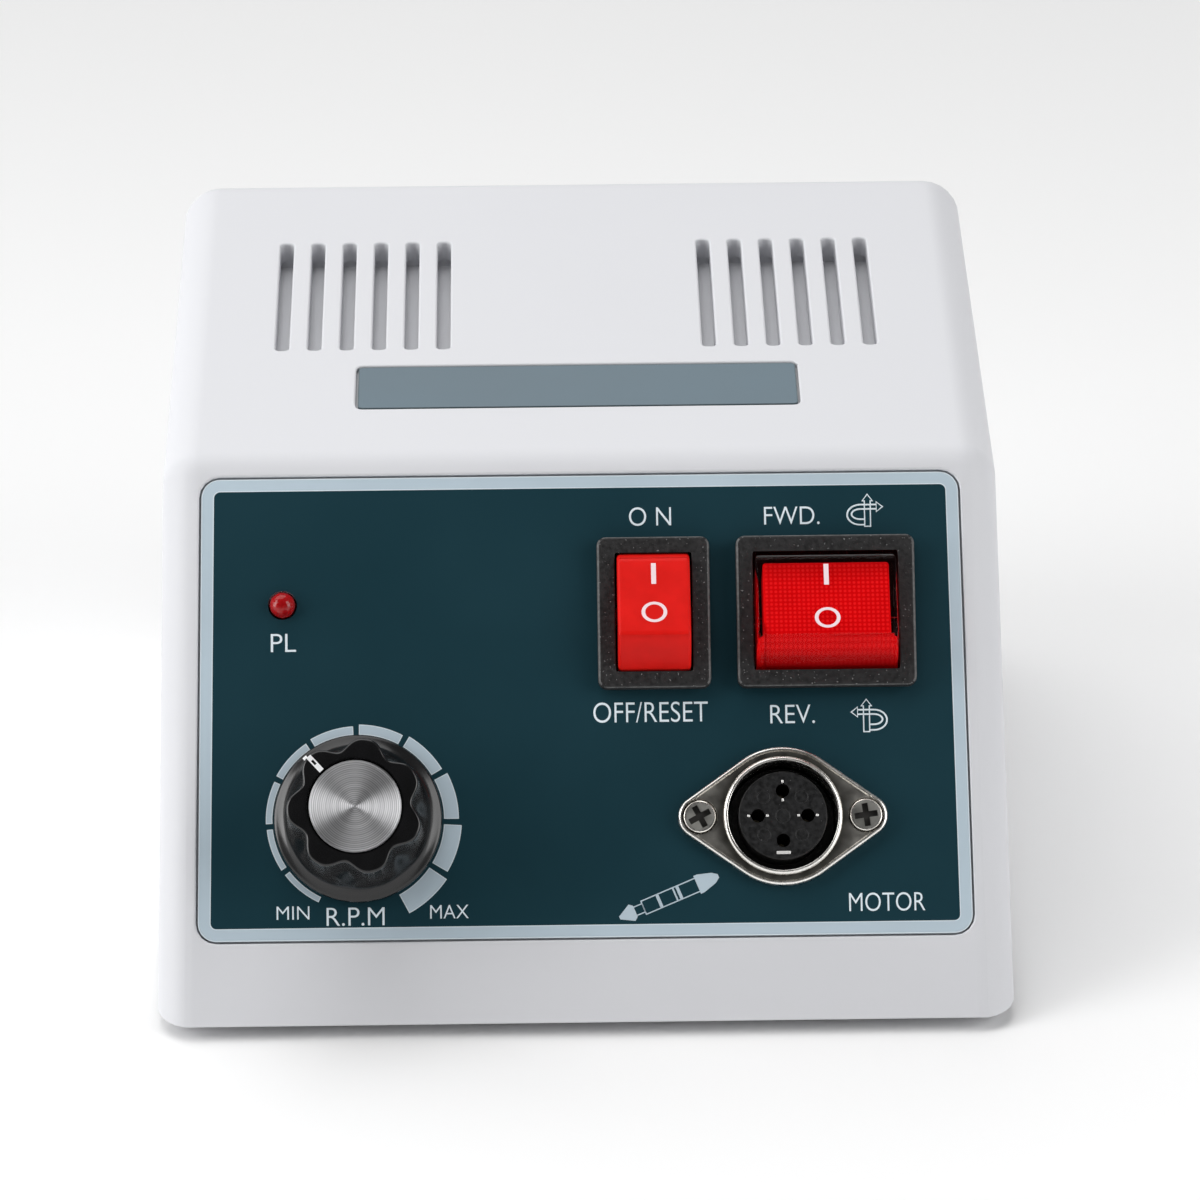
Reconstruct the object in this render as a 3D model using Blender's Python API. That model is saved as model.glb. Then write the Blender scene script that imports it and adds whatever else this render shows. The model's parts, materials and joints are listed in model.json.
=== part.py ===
"""Control box of a bench micromotor, as a dental lab uses it.

A moulded wedge-shaped housing carries a printed front panel with two rocker
switches, a fluted speed knob, a pilot lamp and the round handpiece socket.
Behind it sit the transformer, the control board and the rear fittings.

Metres, +Z up, the front panel faces -Y. The origin is under the middle of
the part, on the surface that its rubber feet stand on.
"""

import math

import bmesh
import bpy
from mathutils import Matrix, Vector

# Fits and facets shared by every piece
FIT = 0.0003
OVERRUN = 0.002
MERGE_DISTANCE = 0.00001
LEAST_FILLET = 0.0003
ROUND_STEPS = 20
SMALL_STEPS = 12
TINY_STEPS = 8
CORNER_STEPS = 4
SLOT_STEPS = 3
FILLET_STEPS = 6
INNER_FILLET_STEPS = 2
SMOOTH_ANGLE = math.radians(32)
WHOLE_TURN = math.tau
THREAD_PLAY = 0.0003

# Housing: a wedge whose front panel leans back and whose top slopes gently
BASE_WIDTH = 0.115
PANEL_LENGTH = 0.077
TOP_LENGTH = 0.079
PANEL_LEAN = math.radians(34)
TOP_SLOPE = math.radians(8)
SIDE_DRAFT = math.radians(0.8)
BACK_DRAFT = math.radians(1)
WALL = 0.003
EDGE_RADIUS = 0.0052
FOLD_RADIUS = 0.0048
BACK_RADIUS = 0.0042
FOOT_DROP = 0.002

# Printed front panel, in its recess
PANEL_SIDE_MARGIN = 0.0055
PANEL_LOW_MARGIN = 0.0115
PANEL_HIGH_MARGIN = 0.0028
PANEL_CORNER_RADIUS = 0.0025
PANEL_THICKNESS = 0.0008
PANEL_SINK = 0.0002

# Name strip on the top, left bare
STRIP_WIDTH = BASE_WIDTH * 0.526
STRIP_LENGTH = 0.0109
STRIP_SETBACK = 0.0131
STRIP_THICKNESS = 0.0004
STRIP_SINK = 0.0001
STRIP_CORNER_RADIUS = 0.0007

# Vent slots in the top
SLOTS_PER_GROUP = 6
SLOT_PITCH = 0.0045
SLOT_WIDTH = 0.00185
SLOT_LENGTH = 0.030
SLOT_SETBACK = 0.0288
SLOT_GROUP_OFFSET = BASE_WIDTH * 0.259

# Base plate, feet and their screws
PLATE_THICKNESS = 0.0025
PLATE_RECESS = 0.002
FOOT_RADIUS = 0.0058
FOOT_CHAMFER = 0.0005
FOOT_SIDE_INSET = 0.0105
FOOT_FRONT_INSET = 0.020
FOOT_BACK_INSET = 0.0145
BOSS_RADIUS = 0.004
BOSS_HEIGHT = 0.016
WEB_THICKNESS = 0.0016
BASE_SCREW_RADIUS = 0.00145
BASE_SCREW_LENGTH = 0.013
BASE_SCREW_HEAD_RADIUS = 0.0026
BASE_SCREW_HEAD_HEIGHT = 0.0013
PLATE_SLOT_COUNT = 7
PLATE_SLOT_PITCH = 0.006
PLATE_SLOT_WIDTH = 0.0024
PLATE_SLOT_LENGTH = 0.022
PLATE_SLOT_OFFSET = 0.030

# Rocker switches: both share one section and differ in width
BEZEL_LENGTH = 0.0206
BEZEL_RISE = 0.002
BEZEL_CORNER_RADIUS = 0.0012
BEZEL_CHAMFER = 0.0003
SWITCH_BODY_MARGIN = 0.0007
SWITCH_SIDE_MARGIN = 0.0009
SWITCH_FLOOR = 0.0012
ROCKER_RADIUS = 0.0088
ROCKER_DEPTH = 0.00426
ROCKER_RISE = 0.0026
ROCKER_KEEL = 0.0006
ROCKER_SWING = math.radians(30)
ROCKER_CORNER_RADIUS = 0.0005
SOFT_STEPS = 2
ROCKER_PIN_RADIUS = 0.0012
ROCKER_PIN_LENGTH = 0.0009
PLUNGER_RADIUS = 0.0009
PLUNGER_LENGTH = 0.0068
LEVER_SWING = math.radians(16)
LEVER_REACH = 0.0046
LEVER_THICKNESS = 0.0008
LEVER_WIDTH = 0.0036
LEVER_CHAMBER_MARGIN = 0.0012
CONTACT_REACH = 0.0043
TERMINAL_WIDTH = 0.0048
TERMINAL_SHOULDER = 0.0006
TERMINAL_THICKNESS = 0.0008
TERMINAL_LENGTH = 0.0075
TERMINAL_TAPER = 0.0012
TERMINAL_EYE_RADIUS = 0.0008
LATCH_REACH = 0.0008
LATCH_DROP = 0.003
LATCH_WIDTH = 0.005
WELL_STEPS = 28
ROCKER_ARC_STEPS = 6
SWITCH_SPACING = 0.00355

POWER_BEZEL_WIDTH = 0.0152
POWER_OPENING_WIDTH = 0.0104
DIRECTION_INSET = 0.0246
DIRECTION_BEZEL_WIDTH = 0.0241
DIRECTION_OPENING_WIDTH = 0.0196
DIRECTION_COLUMN_OFFSET = 0.005

# Speed control: potentiometer behind the panel, fluted knob in front
SPEED_INSET = 0.0272
KNOB_RADIUS = 0.01125
KNOB_RIM = 0.0012
KNOB_LIFT = 0.0005
KNOB_HEIGHT = 0.0146
KNOB_TOP_RADIUS = 0.0091
KNOB_FLUTES = 7
KNOB_FLUTE_DEPTH = 0.00155
KNOB_FLUTE_ANGLE = math.radians(3)
KNOB_TOP_CHAMFER = 0.0004
KNOB_STEPS = 56
NUT_CLEARANCE = 0.0008
CAP_RADIUS = 0.0061
CAP_EDGE = 0.0002
CAP_THICKNESS = 0.0008
SHAFT_RADIUS = 0.003
SHAFT_GRIP = 0.0085
POT_RADIUS = 0.0084
POT_DEPTH = 0.009
POT_TAIL_LENGTH = 0.006
POT_TAIL_WIDTH = 0.0012
POT_TAIL_PITCH = 0.005
POT_TAIL_THICKNESS = 0.0008
BUSHING_WALL = 0.0009
NUT_RISE = 0.0018
POT_NUT_RADIUS = 0.0058
SET_SCREW_RADIUS = 0.0014
SET_SCREW_LENGTH = 0.0035
SET_SCREW_ANGLE = math.radians(82.5)
SET_SCREW_RISE = 0.0075

# Round handpiece socket
SOCKET_INSET = 0.0309
FLANGE_HALF_HEIGHT = 0.00935
FLANGE_END_RADIUS = 0.0029
FLANGE_THICKNESS = 0.0012
FLANGE_CHAMFER = 0.00035
FLANGE_SCREW_OFFSET = 0.01115
COLLAR_RADIUS = 0.0074
COLLAR_WALL = 0.00055
COLLAR_RISE = 0.0007
BARREL_DEPTH = 0.011
CORE_RADIUS = 0.00595
CORE_SINK = 0.0006
WELL_DEPTH = 0.0065
INSERT_FOOT_THICKNESS = 0.0016
CONTACT_COUNT = 4
CONTACT_CIRCLE_RADIUS = 0.00335
CONTACT_HOLE_RADIUS = 0.00092
CONTACT_RADIUS = 0.00062
CONTACT_BORE_RADIUS = 0.00036
CONTACT_BORE_DEPTH = 0.006
CONTACT_SINK = 0.0009
CONTACT_TAIL = 0.004
SOCKET_SCREW_RADIUS = 0.00125
SOCKET_SCREW_LENGTH = 0.0075
SOCKET_SCREW_HEAD_RADIUS = 0.00225
SOCKET_SCREW_SLOPE = 0.0008
HEAD_CROWN = 0.00025
COLLAR_STEPS = 32

# Pilot lamp
LAMP_INSET = 0.0172
LAMP_RADIUS = 0.0017
LAMP_RISE = 0.0018
LAMP_FLANGE_RADIUS = 0.0022
LAMP_FLANGE_THICKNESS = 0.001
LAMP_BUSH_RADIUS = 0.0036
LAMP_BUSH_DEPTH = 0.004
LAMP_LEAD_LENGTH = 0.0045
LAMP_LEAD_RADIUS = 0.0004
LAMP_LEAD_OFFSET = 0.0012

# Transformer: laminated core, wound bobbin and the strap that holds them
CORE_WIDTH = BASE_WIDTH * 0.3826
CORE_HEIGHT = 0.0366
CORE_STACK = 0.024
CORE_LEG = 0.0073
BOBBIN_FLANGE = 0.001
WINDING_BULGE = 0.0065
WINDING_CORNER_RADIUS = 0.004
WINDING_STEP = 0.0008
STRAP_THICKNESS = 0.001
STRAP_WIDTH = 0.014
STRAP_FOOT = 0.0075
STRAP_BOSS_RADIUS = 0.0034
STRAP_BOSS_HEIGHT = 0.003
STRAP_SCREW_RADIUS = 0.0012
STRAP_SCREW_LENGTH = 0.004
STRAP_SCREW_HEAD_RADIUS = 0.0023
STRAP_SCREW_HEAD_HEIGHT = 0.0015
TRANSFORMER_SIDE_GAP = 0.0012
TRANSFORMER_CLEARANCE = 0.006

# Control board and what stands on it
BOARD_SIDE_GAP = 0.0035
BOARD_STRAP_GAP = 0.0027
BOARD_REAR_GAP = 0.0356
BOARD_THICKNESS = 0.0016
BOARD_LIFT = 0.006
BOARD_FRONT = 0.045
BOARD_HOLE_INSET = 0.0032
POST_RADIUS = 0.0026
POST_PEG_RADIUS = 0.0012
POST_PEG_RISE = 0.0015
CAPACITOR_RADIUS = 0.00625
CAPACITOR_HEIGHT = 0.020
CAPACITOR_CRIMP = 0.0007
CAPACITOR_ROUND = 0.0008
HEAT_SINK_HEIGHT = 0.022
HEAT_SINK_BASE = 0.0022
HEAT_SINK_FINS = 6
FIN_THICKNESS = 0.0014
FIN_LENGTH = 0.008
TRANSISTOR_WIDTH = 0.0102
TRANSISTOR_THICKNESS = 0.0044
TRANSISTOR_BODY = 0.0095
TRANSISTOR_TAB = 0.0062
TRANSISTOR_TAB_THICKNESS = 0.0013
TRANSISTOR_LEGS = 3
TRANSISTOR_LEG_WIDTH = 0.0009
TRANSISTOR_LEG_PITCH = 0.00254
TRANSISTOR_LEG_LENGTH = 0.006

# Rear wall: mains inlet, fuse holder and foot pedal jack
REAR_HEIGHT = 0.024
INLET_INSET = 0.0295
INLET_FLANGE_WIDTH = 0.031
INLET_FLANGE_HEIGHT = 0.0242
INLET_FLANGE_THICKNESS = 0.0022
INLET_CORNER_RADIUS = 0.002
INLET_CAVITY_WIDTH = 0.0244
INLET_CAVITY_HEIGHT = 0.0168
INLET_CAVITY_CHAMFER = 0.0042
INLET_CAVITY_DEPTH = 0.0165
INLET_WALL = 0.0014
INLET_FLOOR = 0.003
INLET_PIN_WIDTH = 0.002
INLET_PIN_HEIGHT = 0.004
INLET_PIN_SINK = 0.002
INLET_PIN_TAIL = 0.006
INLET_PIN_OFFSET = 0.007
INLET_EARTH_RISE = 0.0042
INLET_LINE_DROP = 0.0006
PIN_TIP = 0.0006

FUSE_FLANGE_RADIUS = 0.0075
FUSE_FLANGE_THICKNESS = 0.0018
FUSE_EDGE = 0.0004
FUSE_BODY_RADIUS = 0.0061
FUSE_STEM_RADIUS = 0.0038
FUSE_STEM_LENGTH = 0.008
FUSE_RADIUS = 0.0026
FUSE_LENGTH = 0.020
FUSE_END_LENGTH = 0.005
FUSE_GLASS_STEP = 0.0002
FUSE_FLOOR = 0.002
FUSE_LUG_LENGTH = 0.005
FUSE_LUG_RADIUS = 0.0012
CAP_GRIP_RADIUS = 0.0055
CAP_GRIP_LENGTH = 0.006
CAP_GRIP_RIBS = 12
CAP_GRIP_DEPTH = 0.0004
CAP_GRIP_ROUND = 0.0006
CAP_SLOT_WIDTH = 0.0012
CAP_SLOT_DEPTH = 0.0012

JACK_INSET = 0.0235
JACK_BODY_WIDTH = 0.0155
JACK_BODY_LENGTH = 0.021
JACK_BUSHING_RADIUS = 0.0054
JACK_BUSHING_RISE = 0.0035
JACK_BORE_RADIUS = 0.00335
JACK_NUT_RADIUS = 0.0075
JACK_NUT_THICKNESS = 0.0022
JACK_LUG_LENGTH = 0.005
JACK_LUG_WIDTH = 0.0024
JACK_LUG_THICKNESS = 0.0008
JACK_LUG_OFFSET = 0.004

# Shares of a knob: height up the knob, radius between top and rim, depth of the flutes
KNOB_PROFILE_SHARES = (
    (0.20, 0.93, 0.0),
    (0.30, 0.66, 0.30),
    (0.45, 0.38, 0.72),
    (0.70, 0.14, 0.95),
)

# Shares of one rib of the fuse cap: of the pitch, and of the rib's depth
GRIP_RIB_SHARES = ((0, 0), (0.5, 0), (0.5, 1), (1, 1))

# How sharply a flute sinks in: higher makes narrower flutes
FLUTE_BLEND_SHARE = 1.5

# Shares of the printed panel's length at which its fittings sit
SWITCH_DOWN_SHARE = 0.3046
LAMP_DOWN_SHARE = 0.2759
SPEED_UP_SHARE = 0.2584
SOCKET_UP_SHARE = 0.2536

# Shares of the board's width, and of the rear wall between inlet and jack
HEAT_SINK_SHARE = 0.65
TRANSISTOR_SHARE = 0.25
FUSE_SHARE = 0.45

# Shares of screw heads, slots and small ends
CROSS_REACH_SHARE = 0.62
CROSS_HALF_WIDTH_SHARE = 0.13
CROSS_DEPTH_SHARE = 0.3
SCREW_TIP_SHARE = 0.6
HEAD_EDGE_SHARE = 0.7
HEAD_CROWN_SHARE = 0.86
SLOT_SHARE = 0.45
LEVER_END_SHARE = 0.45
CRIMP_SHARE = 0.15

# What follows from the driving dimensions
BASE_LEVEL = FOOT_DROP
PANEL_RUN = PANEL_LENGTH * math.sin(PANEL_LEAN)
PANEL_CLIMB = PANEL_LENGTH * math.cos(PANEL_LEAN)
TOP_RUN = TOP_LENGTH * math.cos(TOP_SLOPE)
TOP_CLIMB = TOP_LENGTH * math.sin(TOP_SLOPE)
BACK_RUN = (PANEL_CLIMB + TOP_CLIMB) * math.tan(BACK_DRAFT)
BODY_DEPTH = PANEL_RUN + TOP_RUN + BACK_RUN
CAP_REACH = FUSE_FLANGE_THICKNESS + 2 * FIT + CAP_GRIP_LENGTH
CAP_DROP = (REAR_HEIGHT - CAP_GRIP_RADIUS) * math.sin(BACK_DRAFT)
REAR_REACH = CAP_REACH * math.cos(BACK_DRAFT) - CAP_DROP
PANEL_FACE = -PANEL_SINK
PANEL_TOP = PANEL_LENGTH - PANEL_HIGH_MARGIN
FACE_LENGTH = PANEL_TOP - PANEL_LOW_MARGIN
SPEED_Y = PANEL_LOW_MARGIN + FACE_LENGTH * SPEED_UP_SHARE
KNOB_BASE = PANEL_FACE + KNOB_LIFT
KNOB_CREST = KNOB_BASE + KNOB_HEIGHT - KNOB_TOP_CHAMFER
KNOB_SETBACK = (SPEED_Y - KNOB_TOP_RADIUS) * math.sin(PANEL_LEAN)
KNOB_REACH = KNOB_CREST * math.cos(PANEL_LEAN) - KNOB_SETBACK
FRONT_Y = (max(KNOB_REACH, 0) - BODY_DEPTH - REAR_REACH) / 2
BACK_Y = FRONT_Y + BODY_DEPTH

PLATE_LOW = BASE_LEVEL + PLATE_RECESS
PLATE_HIGH = PLATE_LOW + PLATE_THICKNESS
FOOT_HEIGHT = PLATE_LOW - FIT
FOOT_SPOTS = [
    (side * (BASE_WIDTH / 2 - FOOT_SIDE_INSET), y)
    for y in (FRONT_Y + FOOT_FRONT_INSET, BACK_Y - FOOT_BACK_INSET)
    for side in (-1, 1)
]

PANEL_RECESS = PANEL_THICKNESS + PANEL_SINK + FIT
INNER_FACE = -WALL
SEAT = PANEL_FACE + FIT
SWITCH_UP = PANEL_TOP - FACE_LENGTH * SWITCH_DOWN_SHARE
SOCKET_Y = PANEL_LOW_MARGIN + FACE_LENGTH * SOCKET_UP_SHARE
LAMP_Y = PANEL_TOP - FACE_LENGTH * LAMP_DOWN_SHARE
LAMP_X = LAMP_INSET - BASE_WIDTH / 2
SPEED_X = SPEED_INSET - BASE_WIDTH / 2
SOCKET_X = BASE_WIDTH / 2 - SOCKET_INSET
DIRECTION_X = BASE_WIDTH / 2 - DIRECTION_INSET
SWITCH_PITCH = (DIRECTION_BEZEL_WIDTH + POWER_BEZEL_WIDTH) / 2 + SWITCH_SPACING
POWER_X = DIRECTION_X - SWITCH_PITCH
STRIP_RECESS = STRIP_THICKNESS + STRIP_SINK + FIT

PIVOT = BEZEL_RISE - ROCKER_DEPTH
LEVER_PIVOT = PIVOT - PLUNGER_LENGTH - FIT - LEVER_THICKNESS / 2
COMMON_CONTACT_TOP = LEVER_PIVOT - LEVER_THICKNESS / 2 - FIT
LEVER_DIP = CONTACT_REACH * math.tan(LEVER_SWING / 2)
SIDE_CONTACT_TOP = COMMON_CONTACT_TOP - LEVER_DIP - TERMINAL_THICKNESS / 2
CHAMBER_FLOOR = SIDE_CONTACT_TOP - TERMINAL_THICKNESS - FIT
SWITCH_LOW = CHAMBER_FLOOR - SWITCH_FLOOR
SWITCH_BODY_LENGTH = BEZEL_LENGTH - 2 * SWITCH_BODY_MARGIN
SWITCH_END_WALL = SWITCH_BODY_LENGTH / 2 - ROCKER_RADIUS - FIT

BUSHING_RADIUS = SHAFT_RADIUS + FIT + BUSHING_WALL
BUSHING_TOP = SEAT + NUT_RISE + BUSHING_WALL
POT_SEAT = INNER_FACE - FIT

CORE_TOP = FLANGE_THICKNESS + COLLAR_RISE - CORE_SINK
INSERT_FOOT_RADIUS = COLLAR_RADIUS + COLLAR_WALL
INSERT_LOW = -BARREL_DEPTH - FIT - INSERT_FOOT_THICKNESS

INNER_HALF_WIDTH = BASE_WIDTH / 2 - WALL
STRAP_REACH = CORE_WIDTH / 2 + FIT + STRAP_THICKNESS + STRAP_FOOT
TRANSFORMER_X = STRAP_REACH + TRANSFORMER_SIDE_GAP - INNER_HALF_WIDTH
CORE_SEAT = PLATE_HIGH + FIT
STRAP_SEAT = PLATE_HIGH + STRAP_BOSS_HEIGHT + FIT
CORE_WINDOW = (CORE_WIDTH - 4 * CORE_LEG) / 2
WINDOW_HEIGHT = CORE_HEIGHT - 2 * CORE_LEG
CORE_CREST = CORE_SEAT + CORE_HEIGHT
PANEL_INNER_Y = FRONT_Y + (CORE_CREST - BASE_LEVEL) * math.tan(PANEL_LEAN)
TRANSFORMER_FRONT = PANEL_INNER_Y + WALL / math.cos(PANEL_LEAN) + TRANSFORMER_CLEARANCE
TRANSFORMER_Y = TRANSFORMER_FRONT + CORE_STACK / 2 + WINDING_BULGE

BOARD_LOW = PLATE_HIGH + BOARD_LIFT
BOARD_TOP = BOARD_LOW + BOARD_THICKNESS
BOARD_LEFT = TRANSFORMER_X + STRAP_REACH + BOARD_STRAP_GAP
BOARD_RIGHT = INNER_HALF_WIDTH - BOARD_SIDE_GAP
BOARD_WIDTH = BOARD_RIGHT - BOARD_LEFT
BOARD_X = (BOARD_LEFT + BOARD_RIGHT) / 2
BOARD_LENGTH = BODY_DEPTH - BOARD_FRONT - BOARD_REAR_GAP
BOARD_Y = FRONT_Y + BOARD_FRONT + BOARD_LENGTH / 2
HEAT_SINK_WIDTH = BOARD_WIDTH * HEAT_SINK_SHARE
TRANSISTOR_X = BOARD_X + HEAT_SINK_WIDTH * TRANSISTOR_SHARE
HEAT_SINK_Y = BOARD_Y + BOARD_LENGTH / 2 - HEAT_SINK_BASE - FIN_LENGTH

INLET_X = INLET_INSET - BASE_WIDTH / 2
JACK_X = BASE_WIDTH / 2 - JACK_INSET
FUSE_ROOM_LEFT = INLET_X + INLET_FLANGE_WIDTH / 2
FUSE_ROOM_RIGHT = JACK_X - JACK_BODY_WIDTH / 2
FUSE_X = FUSE_ROOM_LEFT + (FUSE_ROOM_RIGHT - FUSE_ROOM_LEFT) * FUSE_SHARE
INLET_CAVITY_FLOOR = INLET_FLANGE_THICKNESS - INLET_CAVITY_DEPTH
FUSE_TOP = FUSE_FLANGE_THICKNESS + FIT - FUSE_STEM_LENGTH


def clear_scene():
    for obj in list(bpy.data.objects):
        bpy.data.objects.remove(obj)


def finish(name, color, roughness, metallic=0.0):
    material = bpy.data.materials.new(name)
    material.use_nodes = True
    shader = material.node_tree.nodes["Principled BSDF"]
    shader.inputs["Base Color"].default_value = (*color, 1)
    shader.inputs["Roughness"].default_value = roughness
    shader.inputs["Metallic"].default_value = metallic
    return material


def place(obj, parent, location, rotation):
    obj.parent = parent
    obj.location = location
    obj.rotation_euler = rotation
    bpy.context.scene.collection.objects.link(obj)
    return obj


def solid(name, bm, material, parent=None, location=(0, 0, 0), rotation=(0, 0, 0)):
    """A piece of the object, made from a bmesh."""
    bmesh.ops.recalc_face_normals(bm, faces=bm.faces)
    mesh = bpy.data.meshes.new(name)
    bm.to_mesh(mesh)
    bm.free()
    mesh.materials.append(material)
    mesh.shade_smooth()
    mesh.set_sharp_from_angle(angle=SMOOTH_ANGLE)
    return place(bpy.data.objects.new(name, mesh), parent, location, rotation)


def shape(target, bm, operation, location=(0, 0, 0), rotation=(0, 0, 0), parent=None):
    """Cuts a shape from a piece, or joins it on. The shape lies in the piece's own frame."""
    name = f"{target.name}_{operation.lower()}_{len(target.modifiers)}"
    tool = solid(name, bm, target.data.materials[0], parent or target, location, rotation)
    tool.hide_render = True
    tool.display_type = "WIRE"
    modifier = target.modifiers.new(name, "BOOLEAN")
    modifier.operation = operation
    modifier.object = tool


def cut(target, bm, location=(0, 0, 0), rotation=(0, 0, 0), parent=None):
    shape(target, bm, "DIFFERENCE", location, rotation, parent)


def join(target, bm, location=(0, 0, 0), rotation=(0, 0, 0), parent=None):
    shape(target, bm, "UNION", location, rotation, parent)


def frame(name, location=(0, 0, 0), rotation=(0, 0, 0), parent=None):
    return place(bpy.data.objects.new(name, None), parent, location, rotation)


def prism(outline, low, high):
    """An outline in X and Y, extruded along Z."""
    bm = bmesh.new()
    base = bm.faces.new([bm.verts.new((x, y, low)) for x, y in outline])
    grown = bmesh.ops.extrude_face_region(bm, geom=[base])["geom"]
    top = [item for item in grown if isinstance(item, bmesh.types.BMVert)]
    bmesh.ops.translate(bm, verts=top, vec=(0, 0, high - low))
    return bm


def side_prism(outline, half_width):
    """An outline in Y and Z, extruded to both sides along X."""
    bm = prism(outline, -half_width, half_width)
    turn = Matrix(((0, 0, 1), (1, 0, 0), (0, 1, 0)))
    bmesh.ops.rotate(bm, verts=bm.verts, cent=(0, 0, 0), matrix=turn)
    return bm


def front_prism(outline, half_depth):
    """An outline in X and Z, extruded to both sides along Y."""
    bm = prism(outline, -half_depth, half_depth)
    turn = Matrix.Rotation(math.radians(90), 3, "X")
    bmesh.ops.rotate(bm, verts=bm.verts, cent=(0, 0, 0), matrix=turn)
    return bm


def lofted(rings):
    """A solid through closed rings of equally many points."""
    bm = bmesh.new()
    loops = [[bm.verts.new(point) for point in ring] for ring in rings]
    for low, high in zip(loops, loops[1:]):
        for i, vert in enumerate(low):
            bm.faces.new((low[i - 1], vert, high[i], high[i - 1]))
    bm.faces.new(loops[0])
    bm.faces.new(loops[-1])
    return bm


def stacked(levels):
    """A solid through outlines in X and Y, each with its height."""
    return lofted([[(x, y, height) for x, y in outline] for outline, height in levels])


def turned(profile, steps=ROUND_STEPS, closed=False):
    """A profile of (radius, height) points, turned round the Z axis. Level ends become flat caps."""
    bm = bmesh.new()
    level = {height for radius, height in profile if radius}
    kept = [(radius, height) for radius, height in profile if radius or height not in level]
    verts = [bm.verts.new((radius, 0, height)) for radius, height in kept]
    edges = [bm.edges.new(pair) for pair in zip(verts, verts[1:])]
    if closed:
        edges.append(bm.edges.new((verts[-1], verts[0])))
    bmesh.ops.spin(
        bm, geom=verts + edges, axis=(0, 0, 1), cent=(0, 0, 0), angle=WHOLE_TURN, steps=steps
    )
    bmesh.ops.remove_doubles(bm, verts=bm.verts, dist=MERGE_DISTANCE)
    bmesh.ops.holes_fill(bm, edges=bm.edges, sides=steps)
    return bm


def rod(radius, low, high, steps=SMALL_STEPS):
    return prism(circle(radius, steps), low, high)


def circle(radius, steps=SMALL_STEPS):
    return arc((0, 0), radius, 0, WHOLE_TURN * (1 - 1 / steps), steps - 1)


def arc(centre, radius, start, end, steps):
    """Points on an arc, both ends included."""
    angles = [start + (end - start) * i / steps for i in range(steps + 1)]
    return [
        (centre[0] + radius * math.cos(angle), centre[1] + radius * math.sin(angle))
        for angle in angles
    ]


def rounded(corners, radii, steps=CORNER_STEPS):
    """A convex or hollow polygon whose corners are rounded."""
    points = []
    for i, corner in enumerate(corners):
        here = Vector(corner)
        before = (Vector(corners[i - 1]) - here).normalized()
        after = (Vector(corners[(i + 1) % len(corners)]) - here).normalized()
        if not radii[i]:
            points.append(corner)
            continue
        half = before.angle(after) / 2
        centre = here + (before + after).normalized() * (radii[i] / math.sin(half))
        first = here + before * (radii[i] / math.tan(half)) - centre
        last = here + after * (radii[i] / math.tan(half)) - centre
        turn = first.angle_signed(last)
        for k in range(steps + 1):
            step = first.copy()
            step.rotate(Matrix.Rotation(-turn * k / steps, 2))
            points.append(tuple(centre + step))
    return points


def rectangle(width, height, x=0.0, y=0.0):
    left = x - width / 2
    low = y - height / 2
    return [(left, low), (left + width, low), (left + width, low + height), (left, low + height)]


def rounded_rectangle(width, height, radius, x=0.0, y=0.0):
    return rounded(rectangle(width, height, x, y), [radius] * 4)


def hexagon(radius):
    return circle(radius, 6)


def slot_outline(width, length, x, y):
    """A slot with round ends, along Y."""
    end = (length - width) / 2
    return arc((x, y + end), width / 2, 0, math.pi, SLOT_STEPS) + arc(
        (x, y - end), width / 2, math.pi, WHOLE_TURN, SLOT_STEPS
    )


def prisms(outlines, low, high):
    """Several separate outlines, extruded along Z in one mesh."""
    bm = bmesh.new()
    for outline in outlines:
        one = prism(outline, low, high)
        mesh = bpy.data.meshes.new("outline")
        one.to_mesh(mesh)
        one.free()
        bm.from_mesh(mesh)
        bpy.data.meshes.remove(mesh)
    return bm


def soften(target, width):
    """Rounds the hard edges of a piece, before anything is cut from it."""
    modifier = target.modifiers.new("rounded_edges", "BEVEL")
    modifier.width = width
    modifier.segments = SOFT_STEPS
    modifier.limit_method = "ANGLE"
    modifier.angle_limit = SMOOTH_ANGLE


# Housing


def half_width(z):
    return BASE_WIDTH / 2 - (z - BASE_LEVEL) * math.tan(SIDE_DRAFT)


def meeting(first, second):
    """Where two lines cross, each given by a point and a direction."""
    (start, way), (other_start, other_way) = first, second
    along = (other_start - start).cross(other_way) / way.cross(other_way)
    return start + way * along


def side_outline(offset, bottom, steps):
    """The side view of the housing, moved inwards by the offset and cut level at the bottom."""
    panel_way = Vector((math.sin(PANEL_LEAN), math.cos(PANEL_LEAN)))
    top_way = Vector((math.cos(TOP_SLOPE), math.sin(TOP_SLOPE)))
    back_way = Vector((math.sin(BACK_DRAFT), -math.cos(BACK_DRAFT)))
    fold = Vector((FRONT_Y, BASE_LEVEL)) + panel_way * PANEL_LENGTH
    crest = fold + top_way * TOP_LENGTH
    panel = (fold + Vector((panel_way.y, -panel_way.x)) * offset, panel_way)
    top = (fold + Vector((top_way.y, -top_way.x)) * offset, top_way)
    back = (crest + Vector((back_way.y, -back_way.x)) * offset, back_way)
    floor = (Vector((FRONT_Y, bottom)), Vector((1, 0)))
    corners = [
        tuple(meeting(floor, panel)),
        tuple(meeting(panel, top)),
        tuple(meeting(top, back)),
        tuple(meeting(back, floor)),
    ]
    fold_radius = max(FOLD_RADIUS - offset, LEAST_FILLET)
    back_radius = max(BACK_RADIUS - offset, LEAST_FILLET)
    return rounded(corners, [0, fold_radius, back_radius, 0], steps)


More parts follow.
